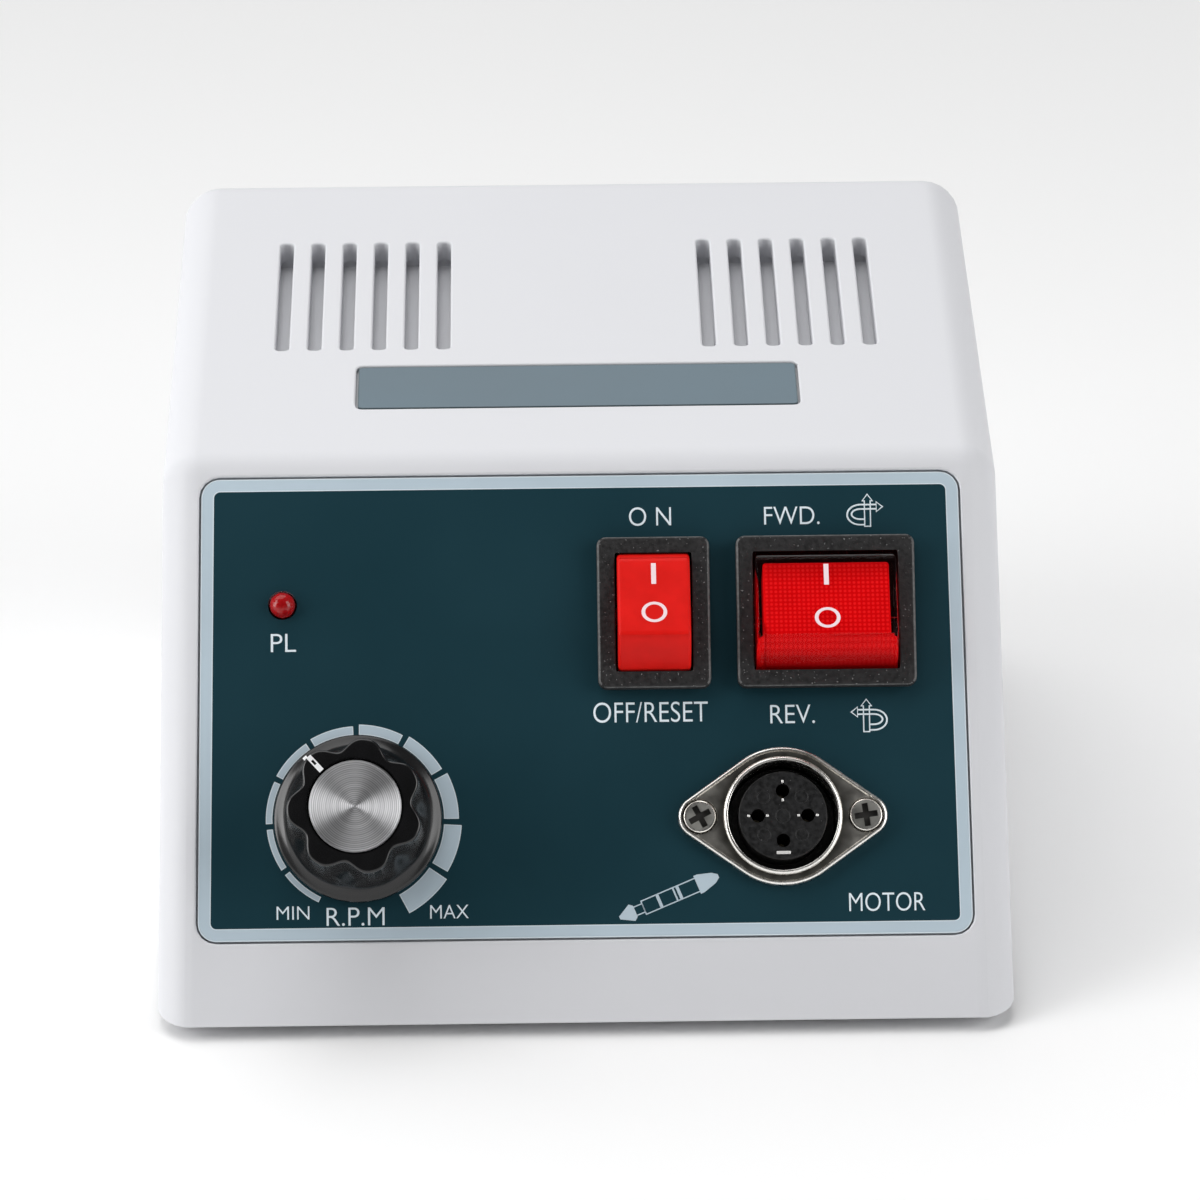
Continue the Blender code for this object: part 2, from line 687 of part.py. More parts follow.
def shell_body(offset, bottom, steps):
    """The housing's outer form as a solid, moved inwards by the offset."""
    radius = max(EDGE_RADIUS - offset, LEAST_FILLET)
    upward = range(steps + 1)
    rings = []
    for side, turns in ((1, upward), (-1, reversed(upward))):
        for k in turns:
            angle = math.pi / 2 * k / steps
            inwards = offset + radius * (1 - math.cos(angle))
            outline = side_outline(offset + radius * (1 - math.sin(angle)), bottom, steps)
            rings.append([(side * (half_width(z) - inwards), y, z) for y, z in outline])
    return lofted(rings)


def panel_outline(grow):
    """The printed panel's outline, which narrows upwards with the housing."""
    low = PANEL_LOW_MARGIN - grow
    high = PANEL_TOP + grow
    ends = []
    for up in (low, high):
        level = BASE_LEVEL + up * math.cos(PANEL_LEAN)
        ends.append(half_width(level) - PANEL_SIDE_MARGIN + grow)
    corners = [(-ends[0], low), (ends[0], low), (ends[1], high), (-ends[1], high)]
    return rounded(corners, [PANEL_CORNER_RADIUS + grow] * 4, CORNER_STEPS)


def panel_openings():
    """Outlines of the openings that pass through the printed panel and the wall."""
    openings = [
        rounded_rectangle(
            switch_body_width(bezel_width) + 2 * FIT,
            SWITCH_BODY_LENGTH + 2 * FIT,
            LEAST_FILLET,
            x,
            SWITCH_UP,
        )
        for x, bezel_width in ((POWER_X, POWER_BEZEL_WIDTH), (DIRECTION_X, DIRECTION_BEZEL_WIDTH))
    ]
    round_holes = [
        (SPEED_X, SPEED_Y, BUSHING_RADIUS + FIT, SMALL_STEPS),
        (SOCKET_X, SOCKET_Y, INSERT_FOOT_RADIUS + FIT, ROUND_STEPS),
        (LAMP_X, LAMP_Y, LAMP_RADIUS + FIT, SMALL_STEPS),
    ]
    for side in (-1, 1):
        x = SOCKET_X + side * FLANGE_SCREW_OFFSET
        round_holes.append((x, SOCKET_Y, SOCKET_SCREW_RADIUS + FIT, SMALL_STEPS))
    for x, y, radius, steps in round_holes:
        openings.append([(x + dx, y + dy) for dx, dy in circle(radius, steps)])
    return openings


def vent_slots():
    slots = []
    for side in (-1, 1):
        for k in range(SLOTS_PER_GROUP):
            x = side * SLOT_GROUP_OFFSET + (k - (SLOTS_PER_GROUP - 1) / 2) * SLOT_PITCH
            slots.append(slot_outline(SLOT_WIDTH, SLOT_LENGTH, x, SLOT_SETBACK + SLOT_LENGTH / 2))
    return slots


def strip_outline(grow):
    return rounded_rectangle(
        STRIP_WIDTH + 2 * grow,
        STRIP_LENGTH + 2 * grow,
        STRIP_CORNER_RADIUS + grow,
        0,
        STRIP_SETBACK + STRIP_LENGTH / 2,
    )


def inlet_outline(width, height, radius):
    return rounded_rectangle(width, height, radius, -INLET_X, REAR_HEIGHT)


def make_housing(material, panel, top, rear):
    housing = solid("housing", shell_body(0, BASE_LEVEL, FILLET_STEPS), material)
    cut(housing, shell_body(WALL, BASE_LEVEL - OVERRUN, INNER_FILLET_STEPS))
    boss_low = PLATE_HIGH + FIT
    boss_high = boss_low + BOSS_HEIGHT
    for x, y in FOOT_SPOTS:
        join(housing, rod(BOSS_RADIUS, boss_low, boss_high), (x, y, 0))
        reach = half_width(boss_high) - WALL / 2 - abs(x)
        web = rectangle(reach, WEB_THICKNESS, math.copysign(reach / 2, x))
        join(housing, prism(web, boss_low, boss_high), (x, y, 0))
        pilot = rod(BASE_SCREW_RADIUS + THREAD_PLAY, -OVERRUN, BASE_SCREW_LENGTH, TINY_STEPS)
        cut(housing, pilot, (x, y, boss_low))
    bush_low = INNER_FACE - LAMP_BUSH_DEPTH
    join(housing, rod(LAMP_BUSH_RADIUS, bush_low, INNER_FACE / 2), (LAMP_X, LAMP_Y, 0), parent=panel)
    cut(housing, prism(panel_outline(FIT), -PANEL_RECESS, OVERRUN), parent=panel)
    through_low = -WALL - OVERRUN
    cut(housing, prisms(panel_openings(), through_low, OVERRUN), parent=panel)
    socket_bore = rod(LAMP_FLANGE_RADIUS + FIT, bush_low - OVERRUN, INNER_FACE)
    cut(housing, socket_bore, (LAMP_X, LAMP_Y, 0), parent=panel)
    cut(housing, prism(strip_outline(FIT), -STRIP_RECESS, OVERRUN), parent=top)
    cut(housing, prisms(vent_slots(), through_low, OVERRUN), parent=top)
    cut(housing, prisms(rear_openings(), through_low, OVERRUN), parent=rear)
    return housing


def rear_openings():
    width = INLET_CAVITY_WIDTH + 2 * INLET_WALL + 2 * FIT
    height = INLET_CAVITY_HEIGHT + 2 * INLET_WALL + 2 * FIT
    openings = [inlet_outline(width, height, LEAST_FILLET)]
    for x, radius in ((FUSE_X, FUSE_BODY_RADIUS), (JACK_X, JACK_BUSHING_RADIUS)):
        openings.append([(dx - x, dy + REAR_HEIGHT) for dx, dy in circle(radius + FIT, ROUND_STEPS)])
    return openings


def make_front_panel(material, panel):
    plate = prism(panel_outline(0), PANEL_FACE - PANEL_THICKNESS, PANEL_FACE)
    fascia = solid("front_panel", plate, material, panel)
    cut(fascia, prisms(panel_openings(), -PANEL_RECESS - OVERRUN, OVERRUN))


def make_name_strip(material, top):
    plate = prism(strip_outline(0), -STRIP_SINK - STRIP_THICKNESS, -STRIP_SINK)
    solid("name_strip", plate, material, top)


# Base plate, feet and screws


def make_base_plate(material):
    bm = shell_body(WALL + FIT, PLATE_LOW, INNER_FILLET_STEPS)
    everything = bm.verts[:] + bm.edges[:] + bm.faces[:]
    cut_edges = bmesh.ops.bisect_plane(
        bm, geom=everything, plane_co=(0, 0, PLATE_HIGH), plane_no=(0, 0, 1), clear_outer=True
    )["geom_cut"]
    rim = [item for item in cut_edges if isinstance(item, bmesh.types.BMEdge)]
    bmesh.ops.edgeloop_fill(bm, edges=rim)
    plate = solid("base_plate", bm, material)
    for x, y in board_post_spots():
        peg_top = BOARD_LOW + BOARD_THICKNESS + POST_PEG_RISE
        post = [
            (0, PLATE_HIGH - PLATE_THICKNESS / 2),
            (POST_RADIUS, PLATE_HIGH - PLATE_THICKNESS / 2),
            (POST_RADIUS, BOARD_LOW - FIT),
            (POST_PEG_RADIUS, BOARD_LOW - FIT),
            (POST_PEG_RADIUS, peg_top),
            (0, peg_top),
        ]
        join(plate, turned(post, TINY_STEPS), (x, y, 0))
    for x in strap_screw_places():
        boss = rod(STRAP_BOSS_RADIUS, PLATE_HIGH - PLATE_THICKNESS / 2, STRAP_SEAT - FIT)
        join(plate, boss, (x, TRANSFORMER_Y, 0))
        pilot = rod(STRAP_SCREW_RADIUS + THREAD_PLAY, -STRAP_SCREW_LENGTH - FIT, OVERRUN)
        cut(plate, pilot, (x, TRANSFORMER_Y, STRAP_SEAT))
    for x, y in FOOT_SPOTS:
        hole = rod(BASE_SCREW_RADIUS + FIT, PLATE_LOW - OVERRUN, PLATE_HIGH + OVERRUN)
        cut(plate, hole, (x, y, 0))
    slots = []
    for side in (-1, 1):
        for k in range(PLATE_SLOT_COUNT):
            x = (k - (PLATE_SLOT_COUNT - 1) / 2) * PLATE_SLOT_PITCH
            y = side * PLATE_SLOT_OFFSET
            slots.append(slot_outline(PLATE_SLOT_WIDTH, PLATE_SLOT_LENGTH, x, y))
    cut(plate, prisms(slots, PLATE_LOW - OVERRUN, PLATE_HIGH + OVERRUN))


def cross_recess(head_radius, top):
    """A cross-shaped cutter for a screw head."""
    reach = head_radius * CROSS_REACH_SHARE
    half = head_radius * CROSS_HALF_WIDTH_SHARE
    arm = ((half, half), (reach, half), (reach, -half))
    outline = []
    for quarter in range(4):
        turn = Matrix.Rotation(-math.pi / 2 * quarter, 2)
        outline += [tuple(turn @ Vector(corner)) for corner in arm]
    return prism(outline, top - head_radius * CROSS_DEPTH_SHARE, top + OVERRUN)


def cheese_screw(name, material, radius, length, head_radius, head_height, location, upside_down):
    """A screw whose shank points down from the underside of its head at its origin."""
    profile = [
        (0, -length),
        (radius * SCREW_TIP_SHARE, -length),
        (radius, -length + radius),
        (radius, 0),
        (head_radius, 0),
        (head_radius, head_height * HEAD_EDGE_SHARE),
        (head_radius * HEAD_CROWN_SHARE, head_height),
        (0, head_height),
    ]
    turn = (math.pi, 0, 0) if upside_down else (0, 0, 0)
    screw = solid(name, turned(profile, SMALL_STEPS), material, None, location, turn)
    cut(screw, cross_recess(head_radius, head_height))


def make_feet(rubber, steel):
    head_room = BASE_SCREW_HEAD_HEIGHT + FIT
    for number, (x, y) in enumerate(FOOT_SPOTS, start=1):
        profile = [
            (BASE_SCREW_RADIUS + FIT, FOOT_HEIGHT),
            (BASE_SCREW_RADIUS + FIT, head_room + FIT),
            (BASE_SCREW_HEAD_RADIUS + FIT, head_room + FIT),
            (BASE_SCREW_HEAD_RADIUS + FIT, 0),
            (FOOT_RADIUS - FOOT_CHAMFER, 0),
            (FOOT_RADIUS, FOOT_CHAMFER),
            (FOOT_RADIUS, FOOT_HEIGHT),
        ]
        solid(f"foot_{number}", turned(profile, SMALL_STEPS, True), rubber, None, (x, y, 0))
        cheese_screw(
            f"base_screw_{number}",
            steel,
            BASE_SCREW_RADIUS,
            BASE_SCREW_LENGTH,
            BASE_SCREW_HEAD_RADIUS,
            BASE_SCREW_HEAD_HEIGHT,
            (x, y, head_room),
            True,
        )


# Rocker switches


def switch_body_width(bezel_width):
    return bezel_width - 2 * SWITCH_SIDE_MARGIN


def make_switch_body(name, material, place_frame, bezel_width, opening_width, spots):
    """The frame with its body, the round well of the rocker and the chamber of the levers."""
    width = switch_body_width(bezel_width)
    chamfered = bezel_outline(bezel_width, -BEZEL_CHAMFER)
    full = bezel_outline(bezel_width, 0)
    levels = [(full, 0), (full, BEZEL_RISE - BEZEL_CHAMFER), (chamfered, BEZEL_RISE)]
    body = solid(name, stacked(levels), material, place_frame)
    box = rectangle(width, SWITCH_BODY_LENGTH)
    join(body, prism(box, SWITCH_LOW, BEZEL_RISE / 2))
    latch_top = INNER_FACE - SEAT - FIT
    inside = SWITCH_BODY_LENGTH / 2 - SWITCH_END_WALL / 2
    for side in (-1, 1):
        wedge = [
            (side * inside, latch_top),
            (side * (SWITCH_BODY_LENGTH / 2 + LATCH_REACH), latch_top),
            (side * inside, latch_top - LATCH_DROP),
        ]
        join(body, side_prism(wedge, LATCH_WIDTH / 2))
    well = side_prism(circle(ROCKER_RADIUS + FIT, WELL_STEPS), opening_width / 2)
    cut(body, well, (0, 0, PIVOT))
    column = max(x for x, _ in spots)
    chamber_width = 2 * column + TERMINAL_WIDTH + 2 * TERMINAL_SHOULDER + 2 * FIT
    chamber = rectangle(chamber_width, 2 * (LEVER_REACH + LEVER_CHAMBER_MARGIN))
    cut(body, prism(chamber, CHAMBER_FLOOR, PIVOT))
    pin_hole = side_prism(circle(ROCKER_PIN_RADIUS + FIT), width / 2 + OVERRUN)
    cut(body, pin_hole, (0, 0, PIVOT))
    slots = [
        rectangle(TERMINAL_WIDTH + 2 * FIT, TERMINAL_THICKNESS + 2 * FIT, x, y) for x, y in spots
    ]
    cut(body, prisms(slots, SWITCH_LOW - OVERRUN, CHAMBER_FLOOR + OVERRUN))


def bezel_outline(width, grow):
    radius = BEZEL_CORNER_RADIUS + grow
    return rounded_rectangle(width + 2 * grow, BEZEL_LENGTH + 2 * grow, radius)


def make_rocker(name, material, pivot, opening_width, columns):
    """The paddle: a flat face between two arcs about its pins, with a plunger for each lever."""
    top_angle = math.asin((ROCKER_DEPTH + ROCKER_RISE) / ROCKER_RADIUS)
    keel_angle = math.asin(ROCKER_KEEL / ROCKER_RADIUS)
    outline = arc((0, 0), ROCKER_RADIUS, -keel_angle, top_angle, ROCKER_ARC_STEPS)
    start = math.pi - top_angle
    outline += arc((0, 0), ROCKER_RADIUS, start, math.pi + keel_angle, ROCKER_ARC_STEPS)
    half = opening_width / 2 - FIT
    rest = (-ROCKER_SWING / 2, 0, 0)
    rocker = solid(name, side_prism(outline, half), material, pivot, (0, 0, 0), rest)
    soften(rocker, ROCKER_CORNER_RADIUS)
    join(rocker, side_prism(circle(ROCKER_PIN_RADIUS), half + FIT + ROCKER_PIN_LENGTH))
    for x in columns:
        tip = arc((0, -PLUNGER_LENGTH + PLUNGER_RADIUS), PLUNGER_RADIUS, -math.pi / 2, 0, SLOT_STEPS)
        profile = [(0, tip[0][1])] + tip[1:] + [(PLUNGER_RADIUS, 0), (0, 0)]
        join(rocker, turned(profile, SMALL_STEPS), (x, 0, 0))


def make_lever(name, material, switch, x):
    """The see-saw that the plunger tips from one contact to the other."""
    pivot = frame(f"{name}_axis", (x, 0, LEVER_PIVOT), (0, 0, 0), switch)
    bar = rounded_rectangle(2 * LEVER_REACH, LEVER_THICKNESS, LEVER_THICKNESS * LEVER_END_SHARE)
    bm = side_prism(bar, LEVER_WIDTH / 2)
    solid(name, bm, material, pivot, (0, 0, 0), (LEVER_SWING / 2, 0, 0))


def make_terminal(name, material, switch, x, row):
    """A flat blade through the floor of the switch, with the contact on its head."""
    half = TERMINAL_WIDTH / 2
    head = half + TERMINAL_SHOULDER
    top = SIDE_CONTACT_TOP if row else COMMON_CONTACT_TOP
    seat = CHAMBER_FLOOR + FIT
    low = SWITCH_LOW - TERMINAL_LENGTH
    right = [
        (half - TERMINAL_TAPER, low),
        (half, low + TERMINAL_TAPER),
        (half, seat),
        (head, seat),
        (head, top),
    ]
    outline = right + [(-px, pz) for px, pz in reversed(right)]
    place_here = (x, row * CONTACT_REACH, 0)
    blade = solid(name, front_prism(outline, TERMINAL_THICKNESS / 2), material, switch, place_here)
    eye = front_prism(circle(TERMINAL_EYE_RADIUS, TINY_STEPS), TERMINAL_THICKNESS)
    cut(blade, eye, (0, 0, low + TERMINAL_EYE_RADIUS + TERMINAL_TAPER))


def make_switch(name, materials, panel, x, bezel_width, opening_width, columns, rows):
    switch = frame(f"{name}_seat", (x, SWITCH_UP, SEAT), (0, 0, 0), panel)
    spots = [(column, row * CONTACT_REACH) for column in columns for row in rows]
    body_name = f"{name}_switch_body"
    make_switch_body(body_name, materials["frame"], switch, bezel_width, opening_width, spots)
    pivot = frame(f"{name}_rocker_axis", (0, 0, PIVOT), (0, 0, 0), switch)
    make_rocker(f"{name}_rocker", materials[f"{name}_rocker"], pivot, opening_width, columns)
    number = 0
    for lever_number, column in enumerate(columns, start=1):
        make_lever(f"{name}_contact_lever_{lever_number}", materials["brass"], switch, column)
        for row in rows:
            number += 1
            make_terminal(f"{name}_terminal_{number}", materials["brass"], switch, column, row)


# Speed control


def knob_ring(radius, depth, height):
    """One level of the knob: a circle with shallow flutes."""
    ring = []
    for i in range(KNOB_STEPS):
        angle = WHOLE_TURN * i / KNOB_STEPS
        wave = (1 + math.cos(KNOB_FLUTES * (angle - KNOB_FLUTE_ANGLE))) / 2
        reach = radius - depth * wave**FLUTE_BLEND_SHARE
        ring.append((reach * math.cos(angle), reach * math.sin(angle), height))
    return ring


def make_knob(material, axis):
    """The fluted knob on its flared skirt, hollow over the nut and bored for the shaft."""
    rings = [knob_ring(KNOB_RADIUS, 0, 0), knob_ring(KNOB_RADIUS, 0, KNOB_RIM)]
    spread = KNOB_RADIUS - KNOB_TOP_RADIUS
    for height_share, flare_share, flute_share in KNOB_PROFILE_SHARES:
        radius = KNOB_TOP_RADIUS + spread * flare_share
        depth = KNOB_FLUTE_DEPTH * flute_share
        rings.append(knob_ring(radius, depth, KNOB_HEIGHT * height_share))
    rings.append(knob_ring(KNOB_TOP_RADIUS, KNOB_FLUTE_DEPTH, KNOB_HEIGHT - KNOB_TOP_CHAMFER))
    top_radius = KNOB_TOP_RADIUS - KNOB_TOP_CHAMFER
    rings.append(knob_ring(top_radius, KNOB_FLUTE_DEPTH, KNOB_HEIGHT))
    knob = solid("speed_knob", lofted(rings), material, axis)
    hollow_top = BUSHING_TOP - KNOB_BASE + FIT
    bore_top = hollow_top + SHAFT_GRIP
    hollow_radius = POT_NUT_RADIUS + NUT_CLEARANCE
    hollow = [
        (0, bore_top),
        (SHAFT_RADIUS + FIT, bore_top),
        (SHAFT_RADIUS + FIT, hollow_top),
        (hollow_radius, hollow_top),
        (hollow_radius, -OVERRUN),
        (0, -OVERRUN),
    ]
    cut(knob, turned(hollow))
    cap_floor = KNOB_HEIGHT - CAP_THICKNESS - FIT
    cut(knob, rod(CAP_RADIUS + FIT, cap_floor, KNOB_HEIGHT + OVERRUN, ROUND_STEPS))
    hole = rod(SET_SCREW_RADIUS + THREAD_PLAY, 0, KNOB_RADIUS)
    sideways = (0, math.pi / 2, SET_SCREW_ANGLE)
    cut(knob, hole, (0, 0, SET_SCREW_RISE), sideways)


def make_knob_cap(material, axis):
    low = KNOB_HEIGHT - CAP_THICKNESS
    profile = [
        (0, low),
        (CAP_RADIUS, low),
        (CAP_RADIUS, KNOB_HEIGHT - CAP_EDGE),
        (CAP_RADIUS - CAP_EDGE, KNOB_HEIGHT),
        (0, KNOB_HEIGHT),
    ]
    solid("knob_cap", turned(profile), material, axis)


def make_set_screw(material, axis):
    start = SHAFT_RADIUS + FIT
    screw_way = Matrix.Rotation(SET_SCREW_ANGLE, 3, "Z") @ Vector((start, 0, SET_SCREW_RISE))
    thread = rod(SET_SCREW_RADIUS, 0, SET_SCREW_LENGTH)
    sideways = (0, math.pi / 2, SET_SCREW_ANGLE)
    screw = solid("knob_set_screw", thread, material, axis, screw_way, sideways)
    slot = rectangle(2 * SET_SCREW_RADIUS + OVERRUN, SET_SCREW_RADIUS * SLOT_SHARE)
    slot_floor = SET_SCREW_LENGTH - SET_SCREW_RADIUS * SLOT_SHARE
    cut(screw, prism(slot, slot_floor, SET_SCREW_LENGTH + OVERRUN))


def make_potentiometer(metal, panel):
    """The metal can with its threaded bushing, bored for the shaft."""
    low = POT_SEAT - POT_DEPTH
    bore = SHAFT_RADIUS + FIT
    profile = [
        (0, low + WALL),
        (bore, low + WALL),
        (bore, BUSHING_TOP),
        (BUSHING_RADIUS, BUSHING_TOP),
        (BUSHING_RADIUS, POT_SEAT),
        (POT_RADIUS, POT_SEAT),
        (POT_RADIUS, low),
        (0, low),
    ]
    pot = solid("pot_body", turned(profile), metal, panel, (SPEED_X, SPEED_Y, 0))
    inside = POT_RADIUS / 2
    middle = -(inside + POT_RADIUS + POT_TAIL_LENGTH) / 2
    length = POT_RADIUS + POT_TAIL_LENGTH - inside
    for k in (-1, 0, 1):
        tail = rectangle(POT_TAIL_WIDTH, length, k * POT_TAIL_PITCH, middle)
        join(pot, prism(tail, low + POT_TAIL_THICKNESS, low + 2 * POT_TAIL_THICKNESS))


def make_pot_shaft(material, axis):
    low = POT_SEAT - POT_DEPTH + WALL + FIT - KNOB_BASE
    high = BUSHING_TOP - KNOB_BASE + SHAFT_GRIP
    profile = [
        (0, low),
        (SHAFT_RADIUS, low),
        (SHAFT_RADIUS, high - CAP_EDGE),
        (SHAFT_RADIUS - CAP_EDGE, high),
        (0, high),
    ]
    solid("pot_shaft", turned(profile), material, axis)


def hex_nut(name, material, parent, location, radius, bore, thickness):
    nut = solid(name, prism(hexagon(radius), 0, thickness), material, parent, location)
    cut(nut, rod(bore, -OVERRUN, thickness + OVERRUN, ROUND_STEPS))


# Handpiece socket


def flange_outline(grow):
    """Two small end circles and one large middle circle, joined by their tangents."""
    middle = FLANGE_HALF_HEIGHT + grow
    end = FLANGE_END_RADIUS + grow
    lean = math.acos((middle - end) / FLANGE_SCREW_OFFSET)
    points = arc((FLANGE_SCREW_OFFSET, 0), end, -lean, lean, FILLET_STEPS)
    points += arc((0, 0), middle, lean, math.pi - lean, FILLET_STEPS)
    points += arc((-FLANGE_SCREW_OFFSET, 0), end, math.pi - lean, math.pi + lean, FILLET_STEPS)
    points += arc((0, 0), middle, math.pi + lean, WHOLE_TURN - lean, FILLET_STEPS)
    return points


def make_socket_shell(metal, socket):
    top = flange_outline(-FLANGE_CHAMFER)
    full = flange_outline(0)
    edge = FLANGE_THICKNESS - FLANGE_CHAMFER
    plate = stacked([(full, 0), (full, edge), (top, FLANGE_THICKNESS)])
    shell = solid("socket_shell", plate, metal, socket)
    outer = COLLAR_RADIUS + COLLAR_WALL
    collar_top = FLANGE_THICKNESS + COLLAR_RISE
    barrel = [
        (0, -BARREL_DEPTH),
        (outer, -BARREL_DEPTH),
        (outer, collar_top - COLLAR_WALL / 2),
        (outer - COLLAR_WALL / 2, collar_top),
        (0, collar_top),
    ]
    join(shell, turned(barrel, COLLAR_STEPS))
    cut(shell, rod(COLLAR_RADIUS, -BARREL_DEPTH - OVERRUN, collar_top + OVERRUN, COLLAR_STEPS))
    for side in (-1, 1):
        sink = [
            (0, -OVERRUN),
            (SOCKET_SCREW_RADIUS + FIT, -OVERRUN),
            (SOCKET_SCREW_RADIUS + FIT, FLANGE_THICKNESS - SOCKET_SCREW_SLOPE - FIT),
            (SOCKET_SCREW_HEAD_RADIUS + FIT, FLANGE_THICKNESS),
            (SOCKET_SCREW_HEAD_RADIUS + FIT, FLANGE_THICKNESS + OVERRUN),
            (0, FLANGE_THICKNESS + OVERRUN),
        ]
        cut(shell, turned(sink, SMALL_STEPS), (side * FLANGE_SCREW_OFFSET, 0, 0))


def contact_spots():
    return arc((0, 0), CONTACT_CIRCLE_RADIUS, 0, math.radians(270), CONTACT_COUNT - 1)


def make_socket_insert(plastic, socket):
    """The moulded core: its face, the round well about it and the foot behind the barrel."""
    wide = COLLAR_RADIUS - FIT
    foot_top = -BARREL_DEPTH - FIT
    profile = [
        (0, INSERT_LOW),
        (INSERT_FOOT_RADIUS, INSERT_LOW),
        (INSERT_FOOT_RADIUS, foot_top),
        (wide, foot_top),
        (wide, CORE_TOP - WELL_DEPTH),
        (CORE_RADIUS, CORE_TOP - WELL_DEPTH),
        (CORE_RADIUS, CORE_TOP),
        (0, CORE_TOP),
    ]
    insert = solid("socket_insert", turned(profile, COLLAR_STEPS), plastic, socket)
    for x, y in contact_spots():
        hole = rod(CONTACT_HOLE_RADIUS, INSERT_LOW - OVERRUN, CORE_TOP + OVERRUN)
        cut(insert, hole, (x, y, 0))


def make_contacts(metal, socket):
    top = CORE_TOP - CONTACT_SINK
    low = INSERT_LOW - CONTACT_TAIL
    profile = [
        (0, low),
        (CONTACT_RADIUS, low),
        (CONTACT_RADIUS, top),
        (CONTACT_BORE_RADIUS, top),
        (CONTACT_BORE_RADIUS, top - CONTACT_BORE_DEPTH),
        (0, top - CONTACT_BORE_DEPTH),
    ]
    for number, (x, y) in enumerate(contact_spots(), start=1):
        name = f"socket_contact_{number}"
        solid(name, turned(profile, TINY_STEPS), metal, socket, (x, y, 0))


def make_socket_screws(metal, socket):
    radius = SOCKET_SCREW_RADIUS
    head = SOCKET_SCREW_HEAD_RADIUS
    profile = [
        (0, FLANGE_THICKNESS - SOCKET_SCREW_LENGTH),
        (radius * SCREW_TIP_SHARE, FLANGE_THICKNESS - SOCKET_SCREW_LENGTH),
        (radius, FLANGE_THICKNESS - SOCKET_SCREW_LENGTH + radius),
        (radius, FLANGE_THICKNESS - SOCKET_SCREW_SLOPE),
        (head, FLANGE_THICKNESS),
        (head * HEAD_CROWN_SHARE, FLANGE_THICKNESS + HEAD_CROWN),
        (0, FLANGE_THICKNESS + HEAD_CROWN),
    ]
    for number, side in enumerate((-1, 1), start=1):
        name = f"socket_screw_{number}"
        spot = (side * FLANGE_SCREW_OFFSET, 0, 0)
        screw = solid(name, turned(profile, ROUND_STEPS), metal, socket, spot)
        cut(screw, cross_recess(head, FLANGE_THICKNESS + HEAD_CROWN))


def make_lamp(material, panel):
    flange_top = INNER_FACE - FIT
    flange_low = flange_top - LAMP_FLANGE_THICKNESS
    dome = arc((0, LAMP_RISE - LAMP_RADIUS), LAMP_RADIUS, 0, math.pi / 2, CORNER_STEPS)
    profile = [(0, flange_low), (LAMP_FLANGE_RADIUS, flange_low), (LAMP_FLANGE_RADIUS, flange_top)]
    profile += [(LAMP_RADIUS, flange_top)] + dome[:-1] + [(0, LAMP_RISE)]
    lamp = solid("pilot_lamp", turned(profile, SMALL_STEPS), material, panel, (LAMP_X, LAMP_Y, 0))
    for side in (-1, 1):
        lead = rod(LAMP_LEAD_RADIUS, flange_low - LAMP_LEAD_LENGTH, INNER_FACE / 2, TINY_STEPS)
        join(lamp, lead, (side * LAMP_LEAD_OFFSET, 0, 0))


# Transformer


def strap_screw_places():
    reach = STRAP_REACH - STRAP_FOOT / 2
    return [TRANSFORMER_X - reach, TRANSFORMER_X + reach]


def make_transformer_core(material, transformer):
    outer = rectangle(CORE_WIDTH, CORE_HEIGHT, 0, CORE_HEIGHT / 2)
    core = solid("transformer_core", front_prism(outer, CORE_STACK / 2), material, transformer)
    for side in (-1, 1):
        x = side * (CORE_LEG + CORE_WINDOW / 2)
        window = rectangle(CORE_WINDOW, WINDOW_HEIGHT, x, CORE_HEIGHT / 2)
        cut(core, front_prism(window, CORE_STACK / 2 + OVERRUN))


def make_winding(material, transformer):
    """The bobbin with its winding, through both windows of the core."""
    low = (CORE_HEIGHT - WINDOW_HEIGHT) / 2 + FIT
    high = (CORE_HEIGHT + WINDOW_HEIGHT) / 2 - FIT
    width = 2 * (CORE_LEG + CORE_WINDOW - FIT)
    depth = CORE_STACK + 2 * WINDING_BULGE
    flange = rounded_rectangle(width, depth, WINDING_CORNER_RADIUS)
    coil = rounded_rectangle(
        width - 2 * WINDING_STEP, depth - 2 * WINDING_STEP, WINDING_CORNER_RADIUS - WINDING_STEP
    )
    levels = [
        (flange, low),
        (flange, low + BOBBIN_FLANGE),
        (coil, low + BOBBIN_FLANGE),
        (coil, high - BOBBIN_FLANGE),
        (flange, high - BOBBIN_FLANGE),
        (flange, high),
    ]
    winding = solid("transformer_winding", stacked(levels), material, transformer)
    leg = rectangle(2 * (CORE_LEG + FIT), CORE_STACK + 2 * FIT)
    cut(winding, prism(leg, low - OVERRUN, high + OVERRUN))


def make_strap(material, transformer):
    """A steel band over the core with a foot on each side."""
    inner = CORE_WIDTH / 2 + FIT
    outer = inner + STRAP_THICKNESS
    toe = outer + STRAP_FOOT
    foot_low = STRAP_SEAT - CORE_SEAT
    foot_high = foot_low + STRAP_THICKNESS
    under = CORE_HEIGHT + FIT
    over = under + STRAP_THICKNESS
    right = [
        (inner, under),
        (inner, foot_low),
        (toe, foot_low),
        (toe, foot_high),
        (outer, foot_high),
        (outer, over),
    ]
    outline = right + [(-x, z) for x, z in reversed(right)]
    strap = solid("transformer_strap", front_prism(outline, STRAP_WIDTH / 2), material, transformer)
    for x in strap_screw_places():
        hole = rod(STRAP_SCREW_RADIUS + FIT, foot_low - OVERRUN, foot_high + OVERRUN)
        cut(strap, hole, (x - TRANSFORMER_X, 0, 0))


